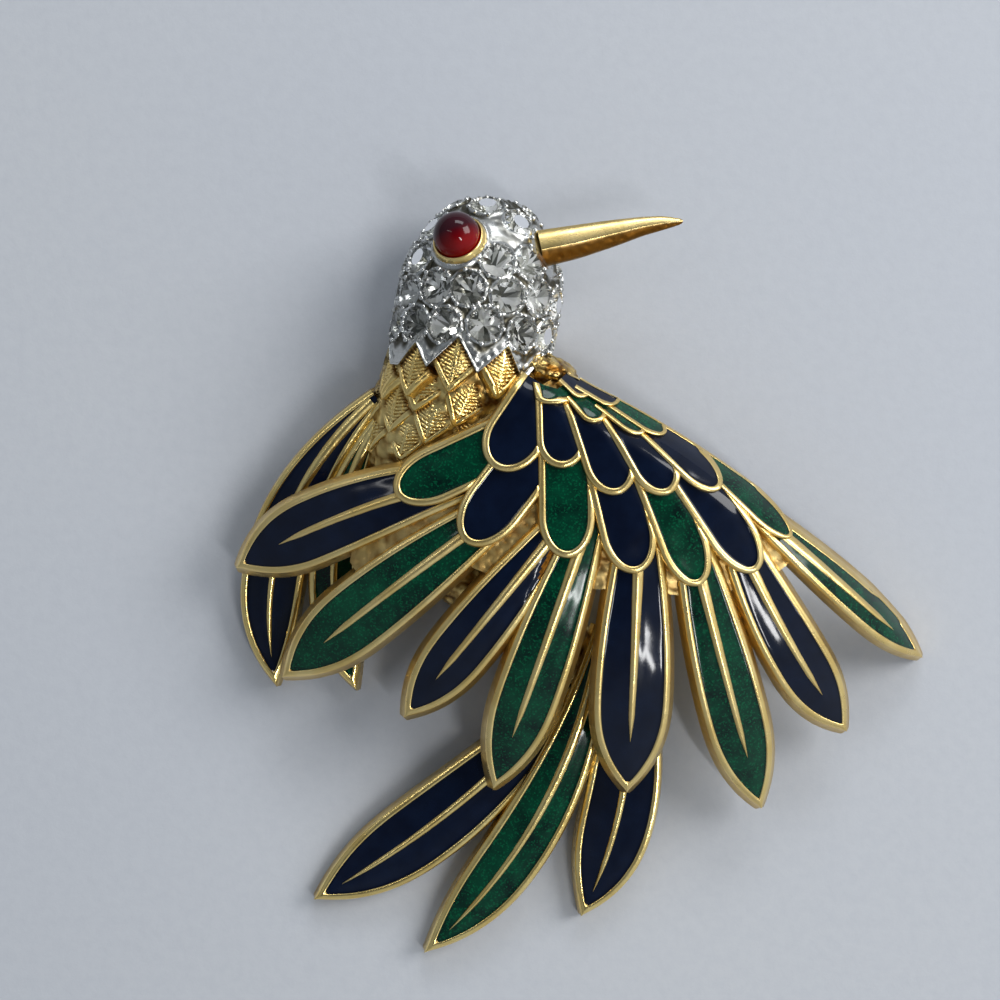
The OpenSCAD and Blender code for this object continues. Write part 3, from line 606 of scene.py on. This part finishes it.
wing_plate(wing)
for swing, reach in PEGS:
    c = shoulder + reach * wing_l * along(swing)
    a = np.linspace(0, 2 * np.pi, 32, endpoint=False)
    levels = [(0.4 * wing_top, 0.0), (0.4 * wing_top, 1.1), (0.4 * wing_top + 0.25, 1.4), (0.4 * wing_top + 0.5, 1.5),
              (9.0, 1.5), (9.4, 1.5)]
    v = [[(c[0] + r * math.cos(x), c[1] + r * math.sin(x), z) for x in a] for z, r in levels]
    wing.add(np.array(v), grid_faces(len(levels), 32, closed_m=True), 0.3)
wing.piece("near_wing_feathers", [champagne], ["near_wing_casting"], sharp=48)
for f in near:
    feather_enamel(f, near, enamels)
for group in (far, tail):
    for f in group:
        feather_enamel(f, group, enamels)

# ---------------------------------------------------------------- body
def rot(axis, deg):
    return Matrix.Rotation(math.radians(deg), 4, axis)


def move(x, y, z):
    return Matrix.Translation((x, y, z))


def placed(m, pts):
    m = np.array(m)
    pts = np.asarray(pts, float)
    return pts @ m[:3, :3].T + m[:3, 3]


def on_head(u, angle, r):
    return move(neck[0], neck[1], neck_z) @ rot("Z", -head_lean) @ move(0, u, 0) @ rot("Y", angle) @ move(0, 0, r)


def head_at(k):
    k = np.asarray(k, float)
    return head_r * np.sqrt(np.maximum(0, 1 - np.maximum(0, (k - 0.35) / 0.65) ** 1.8))


def head_tilt(k):
    return 0 if k < 0.35 else math.degrees(math.atan((head_at(k - 0.01) - head_at(min(1, k + 0.01))) / (0.02 * head_l)))


def on_surface(k, angle, sink=0.0):
    return on_head(k * head_l, angle, float(head_at(k))) @ rot("X", -head_tilt(k)) @ move(0, 0, -sink)


def on_body(s, angle):
    i = int(s)
    t = s - i
    a, b = np.array(BODY[i]), np.array(BODY[i + 1])
    c = a + (b - a) * t
    d = unit((b - a)[:2])
    w, top = c[2] * body_w, c[3]
    slope = math.degrees(math.atan((a[3] - b[3]) * head_top / (body_l * np.linalg.norm((b - a)[:2]))))
    return move(neck[0] + body_l * c[0], neck[1] + body_l * c[1], top * neck_z) \
        @ rot("Z", math.degrees(math.atan2(-d[0], d[1])) + 180) \
        @ move(w * math.sin(math.radians(angle)), 0, (head_top - neck_z) * top * math.cos(math.radians(angle))) \
        @ rot("Y", angle) @ rot("X", slope * math.cos(math.radians(angle)))


def catmull(rows, s):
    rows = np.asarray(rows, float)
    i = np.clip(np.floor(s).astype(int), 0, len(rows) - 2)
    t = (s - i)[:, None]
    q = [rows[np.clip(i + k, 0, len(rows) - 1)] for k in (-1, 0, 1, 2)]
    return 0.5 * (2 * q[1] + (q[2] - q[0]) * t + (2 * q[0] - 5 * q[1] + 4 * q[2] - q[3]) * t ** 2
                  + (3 * q[1] - q[0] - 3 * q[2] + q[3]) * t ** 3)


def leaf_scale(pile, m, grow=1.0):
    """A shield with its tip down: midrib, comb ribs and a wide raised border on the two lower edges."""
    n = 44
    k = np.concatenate([[0, 0], np.linspace(0, 1, n)[1:-1], [1, 1]])
    a, b = np.meshgrid(k, k, indexing="ij")
    skirted = np.zeros(a.shape)
    skirted[0, :] = skirted[-1, :] = skirted[:, 0] = skirted[:, -1] = 1
    hw, hl = (scale_w / 2 + 0.02) * grow, scale_l / 2 * grow
    u, v = (b - a) * hw, (a + b - 1) * hl
    # the tip is rounded
    v = v + 0.35 * np.exp(-(a + b) / 0.09) * hl * 0.3
    across = 2 * hw * hl / math.hypot(hw, hl)
    d = np.minimum(a, b) * across
    up = np.minimum(1 - a, 1 - b) * across
    crown = scale_h * (1 - (np.abs(u) / hw) ** 1.4) * np.clip(1.15 - (np.abs(v) / hl) ** 2, 0, 1)
    z = crown * 0.8 + 0.16 * np.clip(-v / hl, 0, 1) - 0.2 * np.clip(v / hl - 0.1, 0, 1) - u * u / 15.0
    border = np.interp(d, (0, 0.05, 0.12, 0.3, 0.48, 0.56, 0.66), (-0.2, -0.05, 0.03, 0.06, 0.02, -0.13, -0.09))
    phase = (v - 0.3 * np.abs(u)) / 0.32
    rib = np.abs(np.cos(np.pi * phase)) ** 0.8
    inner = smooth((d - 0.52) / 0.1) * smooth((np.abs(u) - 0.07) / 0.09)
    grain = worley(np.stack([u, v], -1).reshape(-1, 2), 0.24, 31 + len(pile.v)).reshape(u.shape)
    z = z + border + inner * (0.17 * rib - 0.08 - 0.09 * grain) - 0.03 * grain
    mid = np.exp(-(u / 0.12) ** 2) * smooth((d - 0.3) / 0.3)
    z = z + 0.06 * mid - 0.08 * np.exp(-np.abs(u) / 0.25)
    # painted shade: darker in the grooves between the ribs, along the border groove, over the upper part under the row
    # above and on the skirt sides; the midrib lighter
    shade = inner * (0.95 - 0.95 * rib) + 0.8 * np.exp(-((d - 0.57) / 0.07) ** 2) * (1 - mid)
    shade = np.clip(shade + 0.8 * smooth((0.55 - up) / 0.5), 0, 1) * (1 - 0.7 * mid)
    z = np.where(skirted > 0, z - 0.95, z)
    shade = np.where(skirted > 0, 0.9, shade)
    pts = placed(m, np.stack([u, v, z], -1).reshape(-1, 3))
    pile.add(pts, grid_faces(len(k), len(k)), shade.reshape(-1))


body = Pile()
s = np.linspace(0.34, 6, 150)
c = catmull(BODY, s)
centre, half, top = neck + body_l * c[:, :2], c[:, 2] * body_w, c[:, 3]
d = unit(np.gradient(c[:, :2], s, axis=0))
n2 = left_of(d)
ang = np.radians(np.linspace(-90, 90, 71))


def body_rings(wall):
    w, rise = half - wall, top * (head_top - neck_z) - wall
    axis_z = top * neck_z
    arc = np.stack([centre[:, 0:1] + n2[:, 0:1] * w[:, None] * np.sin(ang), centre[:, 1:2] + n2[:, 1:2] * w[:, None]
                    * np.sin(ang), axis_z[:, None] + rise[:, None] * np.cos(ang)], -1)
    sides = []
    for sign, order in ((-1, (0.0, 0.25, 0.5, 0.75)), (1, (0.75, 0.5, 0.25, 0.0))):
        sides.append(np.stack([np.column_stack([centre + n2 * (w * sign)[:, None], back_z + (axis_z - back_z) * q])
                               for q in order], 1))
    return np.concatenate([sides[0], arc, sides[1]], 1)


outer = body_rings(0)
out_n = np.concatenate([np.repeat(np.array([[-1.0, 0]]), 4, 0), np.stack([np.sin(ang), np.cos(ang)], 1),
                        np.repeat(np.array([[1.0, 0]]), 4, 0)])
lump = worley(outer.reshape(-1, 3), 1.0, 11).reshape(outer.shape[:2])
lump2 = worley(outer.reshape(-1, 3), 0.55, 12).reshape(outer.shape[:2])
push = 0.2 * np.maximum(0, 1 - 1.9 * lump ** 2) + 0.07 * np.maximum(0, 1 - 1.8 * lump2 ** 2) - 0.12
push[:, :2] *= 0.3
push[:, -2:] *= 0.3
outer[..., :2] += (push * out_n[:, 0])[..., None] * n2[:, None, :]
outer[..., 2] += push * out_n[:, 1]
outer[:, 0, 2] = outer[:, -1, 2] = back_z
inner = body_rings(body_wall)[:, ::-1]
solid = smooth((s - 3.9) / 0.12)[:, None]
inner[..., 2] = inner[..., 2] * (1 - solid) + back_z * solid
ring = np.concatenate([outer, inner], 1)
# painted shade: darker in the hollows between the lumps; the inside mid dark
shade = np.concatenate([np.clip(1.25 * lump, 0, 1), np.full(lump.shape, 0.5)], 1)
n, m = ring.shape[:2]
faces = grid_faces(n, m, closed_m=True)
faces.append(tuple((n - 1) * m + j for j in range(m)))
h = outer.shape[1]
for j in range(h - 1):
    faces.append((j, j + 1, m - 2 - j, m - 1 - j))
body.add(ring, faces, shade)
# lumpy gold at the near wing's shoulder and along the flank at the far wing's root
a, b = np.meshgrid(np.linspace(0, 2 * np.pi, 110, endpoint=False), np.linspace(0.001, np.pi - 0.001, 70), indexing="ij")
ball = np.stack([np.sin(b) * np.cos(a), np.sin(b) * np.sin(a), np.cos(b)], -1)
MASSES = [((0.95, -0.33, 0.1), (2.7, 1.5, 4.6), -14), ((-1.25, -0.93, -2.2), (1.3, 4.9, 2.9), -24)]
for k, (spot, size, lean) in enumerate(MASSES):
    mass = ball * size
    lump = worley(mass.reshape(-1, 3), 0.9, 21 + k).reshape(a.shape)
    fine = worley(mass.reshape(-1, 3), 0.45, 31 + k).reshape(a.shape)
    mass = mass + ball * (0.26 * np.maximum(0, 1 - 1.8 * lump ** 2) - 0.16 * fine)[..., None]
    turn = np.array(rot("Z", lean))[:3, :3]
    # painted shade: darker in the hollows between the lumps
    body.add(mass @ turn.T + [neck[0] + spot[0] * head_r, neck[1] + spot[1] * head_r, neck_z + spot[2]],
             grid_faces(110, 70, closed_n=True), np.clip(1.3 * lump, 0, 1))
for row, angles in BODY_SCALES:
    for a in angles:
        leaf_scale(body, on_body(row, a))
for a, rise in HEAD_SCALES:
    leaf_scale(body, on_head(rise * scale_l - scale_l / 2 - gap, a, head_r - 0.2 * head_wall))
for group in (far, tail):
    for f in group:
        feather_metal(body, f, group, feather_t)
body.piece("body_and_low_feathers", [cast_gold], ["body_casting"], sharp=50)

# ---------------------------------------------------------------- head
stone_r, girdle_sink = stone_d / 2, 0.1 * stone_d
bezel_floor, beak_base, beak_seat = 0.3 * eye_d, 0.5 * beak_w, 0.6 * head_wall
stone_places = [on_surface(k, a) for k, row in STONES for a in row]
stone_centres = np.array([m.translation for m in stone_places])
eye_place, beak_place = on_surface(*EYE), on_surface(*BEAK)
patch_place = on_surface(0.75, 12)

uu = np.linspace(-skirt - 0.7, head_l, 900)
rr = head_at(uu / head_l)
length = np.concatenate([[0], np.cumsum(np.hypot(np.diff(uu), np.diff(rr)))])


def shell(wall, rows, cols):
    """The head's outer or inner skin on a grid from the notched hem to the crown."""
    tau = np.linspace(-1, 1, cols)
    k = (back_z - neck_z) / (head_r - wall)
    hem_angle = np.degrees(np.arccos(k)) * tau
    hem = np.full(cols, -skirt - 0.6)
    for a, rise in HEAD_SCALES:
        x = head_r * np.sin(np.radians(hem_angle - a))
        v = rise * scale_l - np.abs(x) * scale_l / scale_w
        hem = np.where(np.abs(hem_angle - a) < 80, np.maximum(hem, v), hem)
    l0 = np.interp(hem, uu, length)
    f = np.linspace(0, 1, rows)
    el = l0[None, :] + (length[-1] - l0[None, :]) * f[:, None]
    u = np.interp(el, length, uu)
    r = np.interp(el, length, rr)
    slope = np.gradient(rr, uu)
    b = -np.arctan(np.clip(np.interp(u, uu, slope), -60, 0))
    r = r * (1 - wall / head_r)
    u = np.where(u > 0, u * (1 - wall / head_l), u)
    reach = np.degrees(np.arccos(np.clip((back_z - neck_z) / np.maximum(r, 1e-3), -1, 1)))
    th = np.radians(reach * tau[None, :])
    p = np.stack([r * np.sin(th), u, r * np.cos(th)], -1)
    nn = np.stack([np.sin(th) * np.cos(b), np.sin(b), np.cos(th) * np.cos(b)], -1)
    m = move(neck[0], neck[1], neck_z) @ rot("Z", -head_lean)
    return placed(m, p), nn @ np.array(m)[:3, :3].T, u - hem[None, :]


rows, cols = 150, 216
p, nn, over_hem = shell(0, rows, cols)
flat = p.reshape(-1, 3)
dist = np.linalg.norm(flat[:, None, :] - stone_centres[None], axis=-1)
near_d = dist.min(1)
eye_d2 = np.linalg.norm(flat - np.array(eye_place.translation), axis=1)
beak_d2 = np.linalg.norm(flat - np.array(beak_place.translation), axis=1)
patch = np.exp(-(np.linalg.norm(flat - np.array(patch_place.translation), axis=1) / 2.0) ** 6)
eye_ring, beak_ring = eye_d / 2 + 0.28, beak_base + 0.06
hem_d = over_hem.reshape(-1)
collar = 0.14 * np.exp(-((near_d - 1.53) / 0.12) ** 2)
trough = -0.2 * smooth((near_d - 1.66) / 0.2)
grit = 0.2 * (1 - np.minimum(1, worley(flat, 0.62, 5) * 1.3)) + 0.05 * (1 - worley(flat, 0.3, 6))
push = collar + (trough + grit * (near_d > 1.7)) * (1 - patch)
bowl_r = 1.43
bowl = near_d < bowl_r
push = np.where(bowl, -0.36 - 1.11 * (bowl_r - near_d) / bowl_r, push)
eye_rim = 0.16 * np.exp(-((eye_d2 - eye_ring - 0.2) / 0.18) ** 2)
beak_rim = -0.4 * smooth((beak_ring + 1.2 - beak_d2) / 0.9)
flatten = np.maximum(smooth((eye_ring + 0.6 - eye_d2) / 0.2), smooth((beak_ring + 1.0 - beak_d2) / 0.4))
push = np.where(bowl, push, push * (1 - flatten) + eye_rim + beak_rim)
push = np.where(eye_d2 < eye_ring, -1.3, np.where(beak_d2 < beak_ring - 0.15, -0.5, push))
lip = np.exp(-(np.maximum(0, hem_d - 0.14) / 0.1) ** 2)
push = np.where(bowl, push, push * (1 - lip) + 0.08 * lip)
# painted shade: dark in the troughs between the stones and in a thin ring at each bowl edge, less dark at the hem lip,
# round the eye and beak and away from the stones; the smooth patch painted mid dark to tone down its highlight
shade = 0.95 * smooth((near_d - 1.62) / 0.12) * (1 - patch) * (1 - flatten) * (1 - lip)
shade = np.maximum(shade * (1 - 0.75 * smooth((1.6 - hem_d) / 0.8)), 0.75 * patch * (near_d > 1.7))
shade = np.where(bowl, 0.0, shade)
shade = shade * (1 - 0.7 * smooth((near_d - 2.2) / 0.5))
shade = np.where(np.abs(near_d - 1.425) < 0.05, 0.8, shade)
outer = p + (nn * push.reshape(rows, cols)[..., None])
inner = shell(head_wall, rows, cols)[0]
head = Pile()
v = np.concatenate([outer.reshape(-1, 3), inner.reshape(-1, 3)])
g = grid_faces(rows, cols)
k = rows * cols
faces = g + [tuple(x + k for x in reversed(q)) for q in g]
for j in range(cols - 1):
    faces.append((j, j + 1, k + j + 1, k + j))
for i in range(rows - 1):
    for a, b in ((i * cols, (i + 1) * cols), ((i + 1) * cols - 1, (i + 2) * cols - 1)):
        faces.append((a, b, k + b, k + a))
head.add(v, faces, np.concatenate([shade, np.full(k, 0.4)]))

# bead prongs between the stones
bm = bmesh.new()
bmesh.ops.create_icosphere(bm, subdivisions=2, radius=1.0)
ball_v = np.array([x.co[:] for x in bm.verts])
ball_f = [tuple(x.index for x in q.verts) for q in bm.faces]
bm.free()
bead_r, bead_ring = 0.25, 1.63
beads = []
for i, place in enumerate(stone_places):
    for turn in range(0, 360, 45):
        a = math.radians(turn + 20 * (i % 3))
        q = placed(place, [[bead_ring * math.cos(a), bead_ring * math.sin(a), 0]])[0]
        others = np.delete(stone_centres, i, 0)
        clear = np.linalg.norm(others - q, axis=1).min() > 1.56
        clear &= all(np.linalg.norm(q - b) > 0.5 for b in beads)
        clear &= np.linalg.norm(q - np.array(eye_place.translation)) > eye_ring + 0.45
        clear &= np.linalg.norm(q - np.array(beak_place.translation)) > beak_ring + 0.4
        near_i = np.argmin(np.linalg.norm(flat - q, axis=1))
        clear &= hem_d[near_i] > 0.55 and q[2] > back_z + 0.6 and patch[near_i] < 0.5
        if clear:
            beads.append(q)
            normal = nn.reshape(-1, 3)[near_i]
            base = flat[near_i]
            head.add(ball_v * bead_r + base + normal * 0.02, ball_f, 0.0)
head.piece("pave_head", [silver], ["head_casting"], sharp=40)

# ---------------------------------------------------------------- stones, eye and beak
R, D = stone_r, stone_d


def polar(r, deg, z):
    a = math.radians(deg)
    return (r * math.cos(a), r * math.sin(a), z)


crown = [polar(0.56 * R, 45 * i, 0.17 * D) for i in range(8)]
crown += [polar(0.77 * R, 45 * i + 22.5, 0.115 * D) for i in range(8)]
crown += [polar(R, 22.5 * i, 0.011 * D) for i in range(16)]
crown += [polar(R, 22.5 * i, -0.011 * D) for i in range(16)]
crown += [polar(0.35 * R, 45 * i + 22.5, -0.274 * D) for i in range(8)] + [(0, 0, -0.4 * D)]
cut = [tuple(range(8))]
for i in range(8):
    j = (i + 1) % 8
    cut += [(i, 8 + i, j), (i, 8 + (i - 1) % 8, 16 + 2 * i, 8 + i), (8 + i, 16 + 2 * i, 17 + 2 * i),
            (8 + i, 17 + 2 * i, 16 + (2 * i + 2) % 16), (56, 48 + i, 32 + 2 * i, 48 + (i - 1) % 8),
            (48 + i, 33 + 2 * i, 32 + 2 * i), (48 + i, 32 + (2 * i + 2) % 16, 33 + 2 * i)]
cut += [(16 + i, 32 + i, 32 + (i + 1) % 16, 16 + (i + 1) % 16) for i in range(16)]
stones = Pile()
for i, place in enumerate(stone_places):
    gem = placed(place @ move(0, 0, -girdle_sink) @ rot("Z", 11 * i), crown)
    for q in cut:
        back = 56 in q or (min(q) >= 32 and max(q) >= 48)
        # painted reflections: each pavilion facet of the foil gets a random fixed brightness
        stones.add(gem[list(q)], [tuple(range(len(q)))], rng.random() if back else 0.0, 1 if back else 0)


def glass(name, tint, ior, rough=0.0, weight=1.0):
    m, nt, b = material(name)
    vein = noise(nt, 600, 2)
    col = mix(nt, ramp(nt, vein, [(0.3, (0, 0, 0)), (0.7, (1, 1, 1))]), tint, tuple(min(1, c * 1.04) for c in tint))
    nt.links.new(col, b.inputs["Base Color"])
    b.inputs["Transmission Weight"].default_value = weight
    b.inputs["IOR"].default_value = ior
    b.inputs["Roughness"].default_value = rough
    return m


clear = glass("clear_stone", (0.98, 0.98, 0.95), 1.62)
foil, nt, b = material("stone_foil")
shade = node(nt, "ShaderNodeAttribute", attribute_name="shade").outputs["Fac"]
# painted reflections: facet brightness from dark olive to white
painted_facet_glints = ramp(nt, shade, [(0.0, (0.03, 0.03, 0.02)), (0.28, (0.12, 0.12, 0.09)), (0.56, (0.66, 0.66, 0.62)),
                        (0.76, (1, 1, 1))])
nt.links.new(painted_facet_glints, b.inputs["Base Color"])
b.inputs["Metallic"].default_value = 0.45
b.inputs["Roughness"].default_value = 0.12
stones.piece("brilliant_stones", [clear, foil], ["pave_stones"], sharp=0, merge=0)


def lathe(profile, place, sides=72, shade=0.0):
    a = np.linspace(0, 2 * np.pi, sides, endpoint=False)
    pts = np.array([[(r * math.cos(x), r * math.sin(x), z) for x in a] for r, z in profile])
    return placed(place, pts.reshape(-1, 3)), grid_faces(len(profile), sides, closed_m=True)


dome_profile = [(0.001, 0), (1.8, 0), (1.97, 0.08), (2.0, 0.3), (2.0, 1.4)]
dome_profile += [(2.0 * math.cos(q), 1.4 + 1.98 * math.sin(q)) for q in np.linspace(0.05, np.pi / 2 - 0.001, 22)]
eye = Pile()
eye.add(*lathe(dome_profile, on_surface(EYE[0], EYE[1], bezel_floor - bezel_t - gap)))
m, nt, b = material("red_cabochon")
# painted light: the stone darker to the upper left and glowing red to the lower right, as if lit through from one side
place = node(nt, "ShaderNodeSeparateXYZ", {0: coords(nt)}).outputs
slant = node(nt, "ShaderNodeMath", {0: place[0], 1: -0.35}, operation="MULTIPLY").outputs[0]
slant = node(nt, "ShaderNodeMath", {0: place[1], 1: slant}, operation="ADD").outputs[0]
eye_xy = eye_place.translation
level = (eye_xy[1] - 0.35 * eye_xy[0]) * 0.001
painted_glow = node(nt, "ShaderNodeMapRange", {0: slant, 1: level - 0.0014, 2: level + 0.0016}).outputs[0]
cloud = ramp(nt, noise(nt, 300, 3), [(0.35, (0, 0, 0)), (0.7, (1, 1, 1))])
cloudy = mix(nt, cloud, (0.15, 0.0, 0.0), (0.22, 0.0, 0.001))
deep = ramp(nt, painted_glow, [(0.0, (0, 0, 0)), (0.3, (0.1,) * 3), (0.75, (1, 1, 1))])
nt.links.new(mix(nt, deep, cloudy, (0.028, 0.002, 0.006)), b.inputs["Base Color"])
b.inputs["Roughness"].default_value = 0.07
b.inputs["IOR"].default_value = 1.4
b.inputs["Specular IOR Level"].default_value = 0.3
b.inputs["Coat Weight"].default_value = 0.1
b.inputs["Coat Roughness"].default_value = 0.02
eye.piece("eye_stone", [m], ["eye_cabochon"], merge=1e-2)
cup = Pile()
cup_profile = [(0.001, 0), (2.36, 0), (2.4, 0.06), (2.38, 0.9), (2.3, 1.25), (2.25, 1.4), (2.2, 1.5), (2.13, 1.53),
               (2.08, 1.5), (2.04, 1.42), (2.04, 0.45), (1.9, 0.4), (0.001, 0.4)]
cup.add(*lathe(cup_profile, on_surface(EYE[0], EYE[1], bezel_floor)))
cup.piece("eye_cup", [champagne], ["eye_bezel"], merge=1e-2)

k = BEAK[0]
along_beak = on_head(k * head_l, BEAK[1], float(head_at(k)) - beak_seat) @ rot("Y", -BEAK[1]) @ rot("Z", 2 * head_lean)
q = np.linspace(0, 1, 64)
sec = np.array(BEAK_SECTIONS)
r = np.interp(q, sec[:, 0], sec[:, 1]) * beak_base
r = np.convolve(np.pad(r, 3, mode="edge"), np.ones(7) / 7, "valid") * (q < 0.96) + r * (q >= 0.96)
bend = -np.interp(q, sec[:, 0], sec[:, 2]) * beak_l
bend = np.convolve(np.pad(bend, 3, mode="edge"), np.ones(7) / 7, "valid")
# cross section: lower edge, lower facet with a painted dark reflection, crisp ridge, softly hollow upper facet, upper
# edge, underside
form = [(-1.0, 0.0), (-0.98, 0.14), (-0.92, 0.26), (-0.77, 0.41), (-0.5, 0.57), (-0.3, 0.68), (-0.2, 0.735),
        (-0.15, 0.75), (-0.08, 0.74), (0.15, 0.68), (0.45, 0.58), (0.75, 0.46), (0.94, 0.28), (1.0, 0.0), (0.94, -0.2),
        (0.6, -0.6), (-0.6, -0.6), (-0.92, -0.25)]
pts = np.array([[(x * (beak_l + beak_seat), y + rad * a, rad * b) for a, b in form]
                for x, y, rad in zip(q, bend, r)])
beak = Pile()
n, m = pts.shape[:2]
faces = grid_faces(n, m, closed_m=True) + [tuple(range(m)), tuple((n - 1) * m + j for j in range(m))[::-1]]
# painted dark reflection and shade: the lower facet and lower edge darker, the ridge and upper facet left bright
low = np.array([0.8, 0.8, 0.95, 1.0, 1.0, 0.95, 0.7, 0.0, 0.0, 0.0, 0.0, 0.0, 0.0, 0.0, 0.2, 0.5, 0.5, 0.4])
beak.add(placed(along_beak, pts.reshape(-1, 3)), faces, np.broadcast_to(low, (n, m)).reshape(-1))
beak.piece("beak_blade", [beak_gold], ["beak"], sharp=24)

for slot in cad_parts["pin_clasp"].material_slots:
    slot.material = pin_gold

# ---------------------------------------------------------------- floor, light and camera
def paper():
    m, nt, b = material("pale_paper")
    fibre = noise(nt, 900, 6, 0.7)
    wide = noise(nt, 9, 3)
    col = mix(nt, ramp(nt, wide, [(0.3, (0, 0, 0)), (0.7, (1, 1, 1))]), (0.452, 0.474, 0.520), (0.482, 0.498, 0.526))
    col = mix(nt, ramp(nt, fibre, [(0.35, (0.35,) * 3), (0.6, (0, 0, 0))]), col, (0.415, 0.432, 0.475))
    nt.links.new(col, b.inputs["Base Color"])
    b.inputs["Roughness"].default_value = 0.85
    b.inputs["Specular IOR Level"].default_value = 0.2
    nt.links.new(bump(nt, fibre, 0.25, 0.0001), b.inputs["Normal"])
    return m


floor_half, floor_z = 8, -2e-5
me = bpy.data.meshes.new("floor")
me.from_pydata([(x * floor_half, y * floor_half, floor_z) for x, y in ((-1, -1), (1, -1), (1, 1), (-1, 1))],
               [], [(0, 1, 2, 3)])
me.materials.append(paper())
floor = bpy.data.objects.new("floor", me)
scene.collection.objects.link(floor)

world = bpy.data.worlds.new("room")
scene.world = world
world.use_nodes = True
nt = world.node_tree
nt.nodes.clear()
ray = node(nt, "ShaderNodeTexCoord").outputs["Generated"]
up = node(nt, "ShaderNodeSeparateXYZ", {0: ray}).outputs
sky = ramp(nt, node(nt, "ShaderNodeMapRange", {0: up[2], 1: 0.0, 2: 1.0}).outputs[0],
           [(0.0, (0.50, 0.53, 0.56)), (0.45, (0.62, 0.66, 0.70)), (0.78, (0.50, 0.54, 0.57)),
            (0.90, (0.24, 0.26, 0.28)), (0.965, (0.10, 0.11, 0.12))])
side = ramp(nt, node(nt, "ShaderNodeMapRange", {0: up[0], 1: -1.0, 2: 1.0}).outputs[0],
            [(0.0, (0.45, 0.47, 0.50)), (0.55, (0.85, 0.88, 0.92)), (1.0, (1.35, 1.35, 1.32))])
bg = node(nt, "ShaderNodeBackground", {"Color": mix(nt, 1.0, sky, side, "MULTIPLY"), "Strength": 0.80})
nt.links.new(bg.outputs[0], node(nt, "ShaderNodeOutputWorld").inputs["Surface"])


def lamp(name, place, aim, size, power, colour=(1, 1, 1)):
    data = bpy.data.lights.new(name, "AREA")
    data.shape, data.size, data.size_y = "RECTANGLE", size[0], size[1]
    data.energy, data.color = power, colour
    ob = bpy.data.objects.new(name, data)
    ob.location = place
    ob.rotation_euler = (Vector(aim) - Vector(place)).to_track_quat("-Z", "Y").to_euler()
    scene.collection.objects.link(ob)


lamp("window_right", (0.42, 0.20, 0.34), (0, 0, 0), (0.30, 0.30), 2.45, (1.0, 0.99, 0.97))
lamp("window_far", (0.10, 0.52, 0.30), (0, 0, 0), (0.34, 0.16), 1.15, (0.95, 0.98, 1.0))
lamp("strip", (0.16, -0.18, 0.42), (0.02, -0.02, 0), (0.025, 0.16), 0.5, (1.0, 1.0, 1.0))
lamp("strip_left", (-0.26, 0.12, 0.36), (-0.01, 0.01, 0), (0.014, 0.20), 0.06, (1.0, 0.99, 0.97))

half_field = math.radians(16.0)
cam = bpy.data.cameras.new("camera")
cam.sensor_width, cam.lens = 36.0, 18.0 / math.tan(half_field)
cam.clip_start, cam.clip_end = 0.01, 10
camera = bpy.data.objects.new("camera", cam)
camera.location = (-0.00749, 0.00709, 0.160)
camera.rotation_euler = (0, 0, 0)
scene.collection.objects.link(camera)
scene.camera = camera
scene.view_settings.view_transform = "Standard"
scene.view_settings.exposure = 0.0
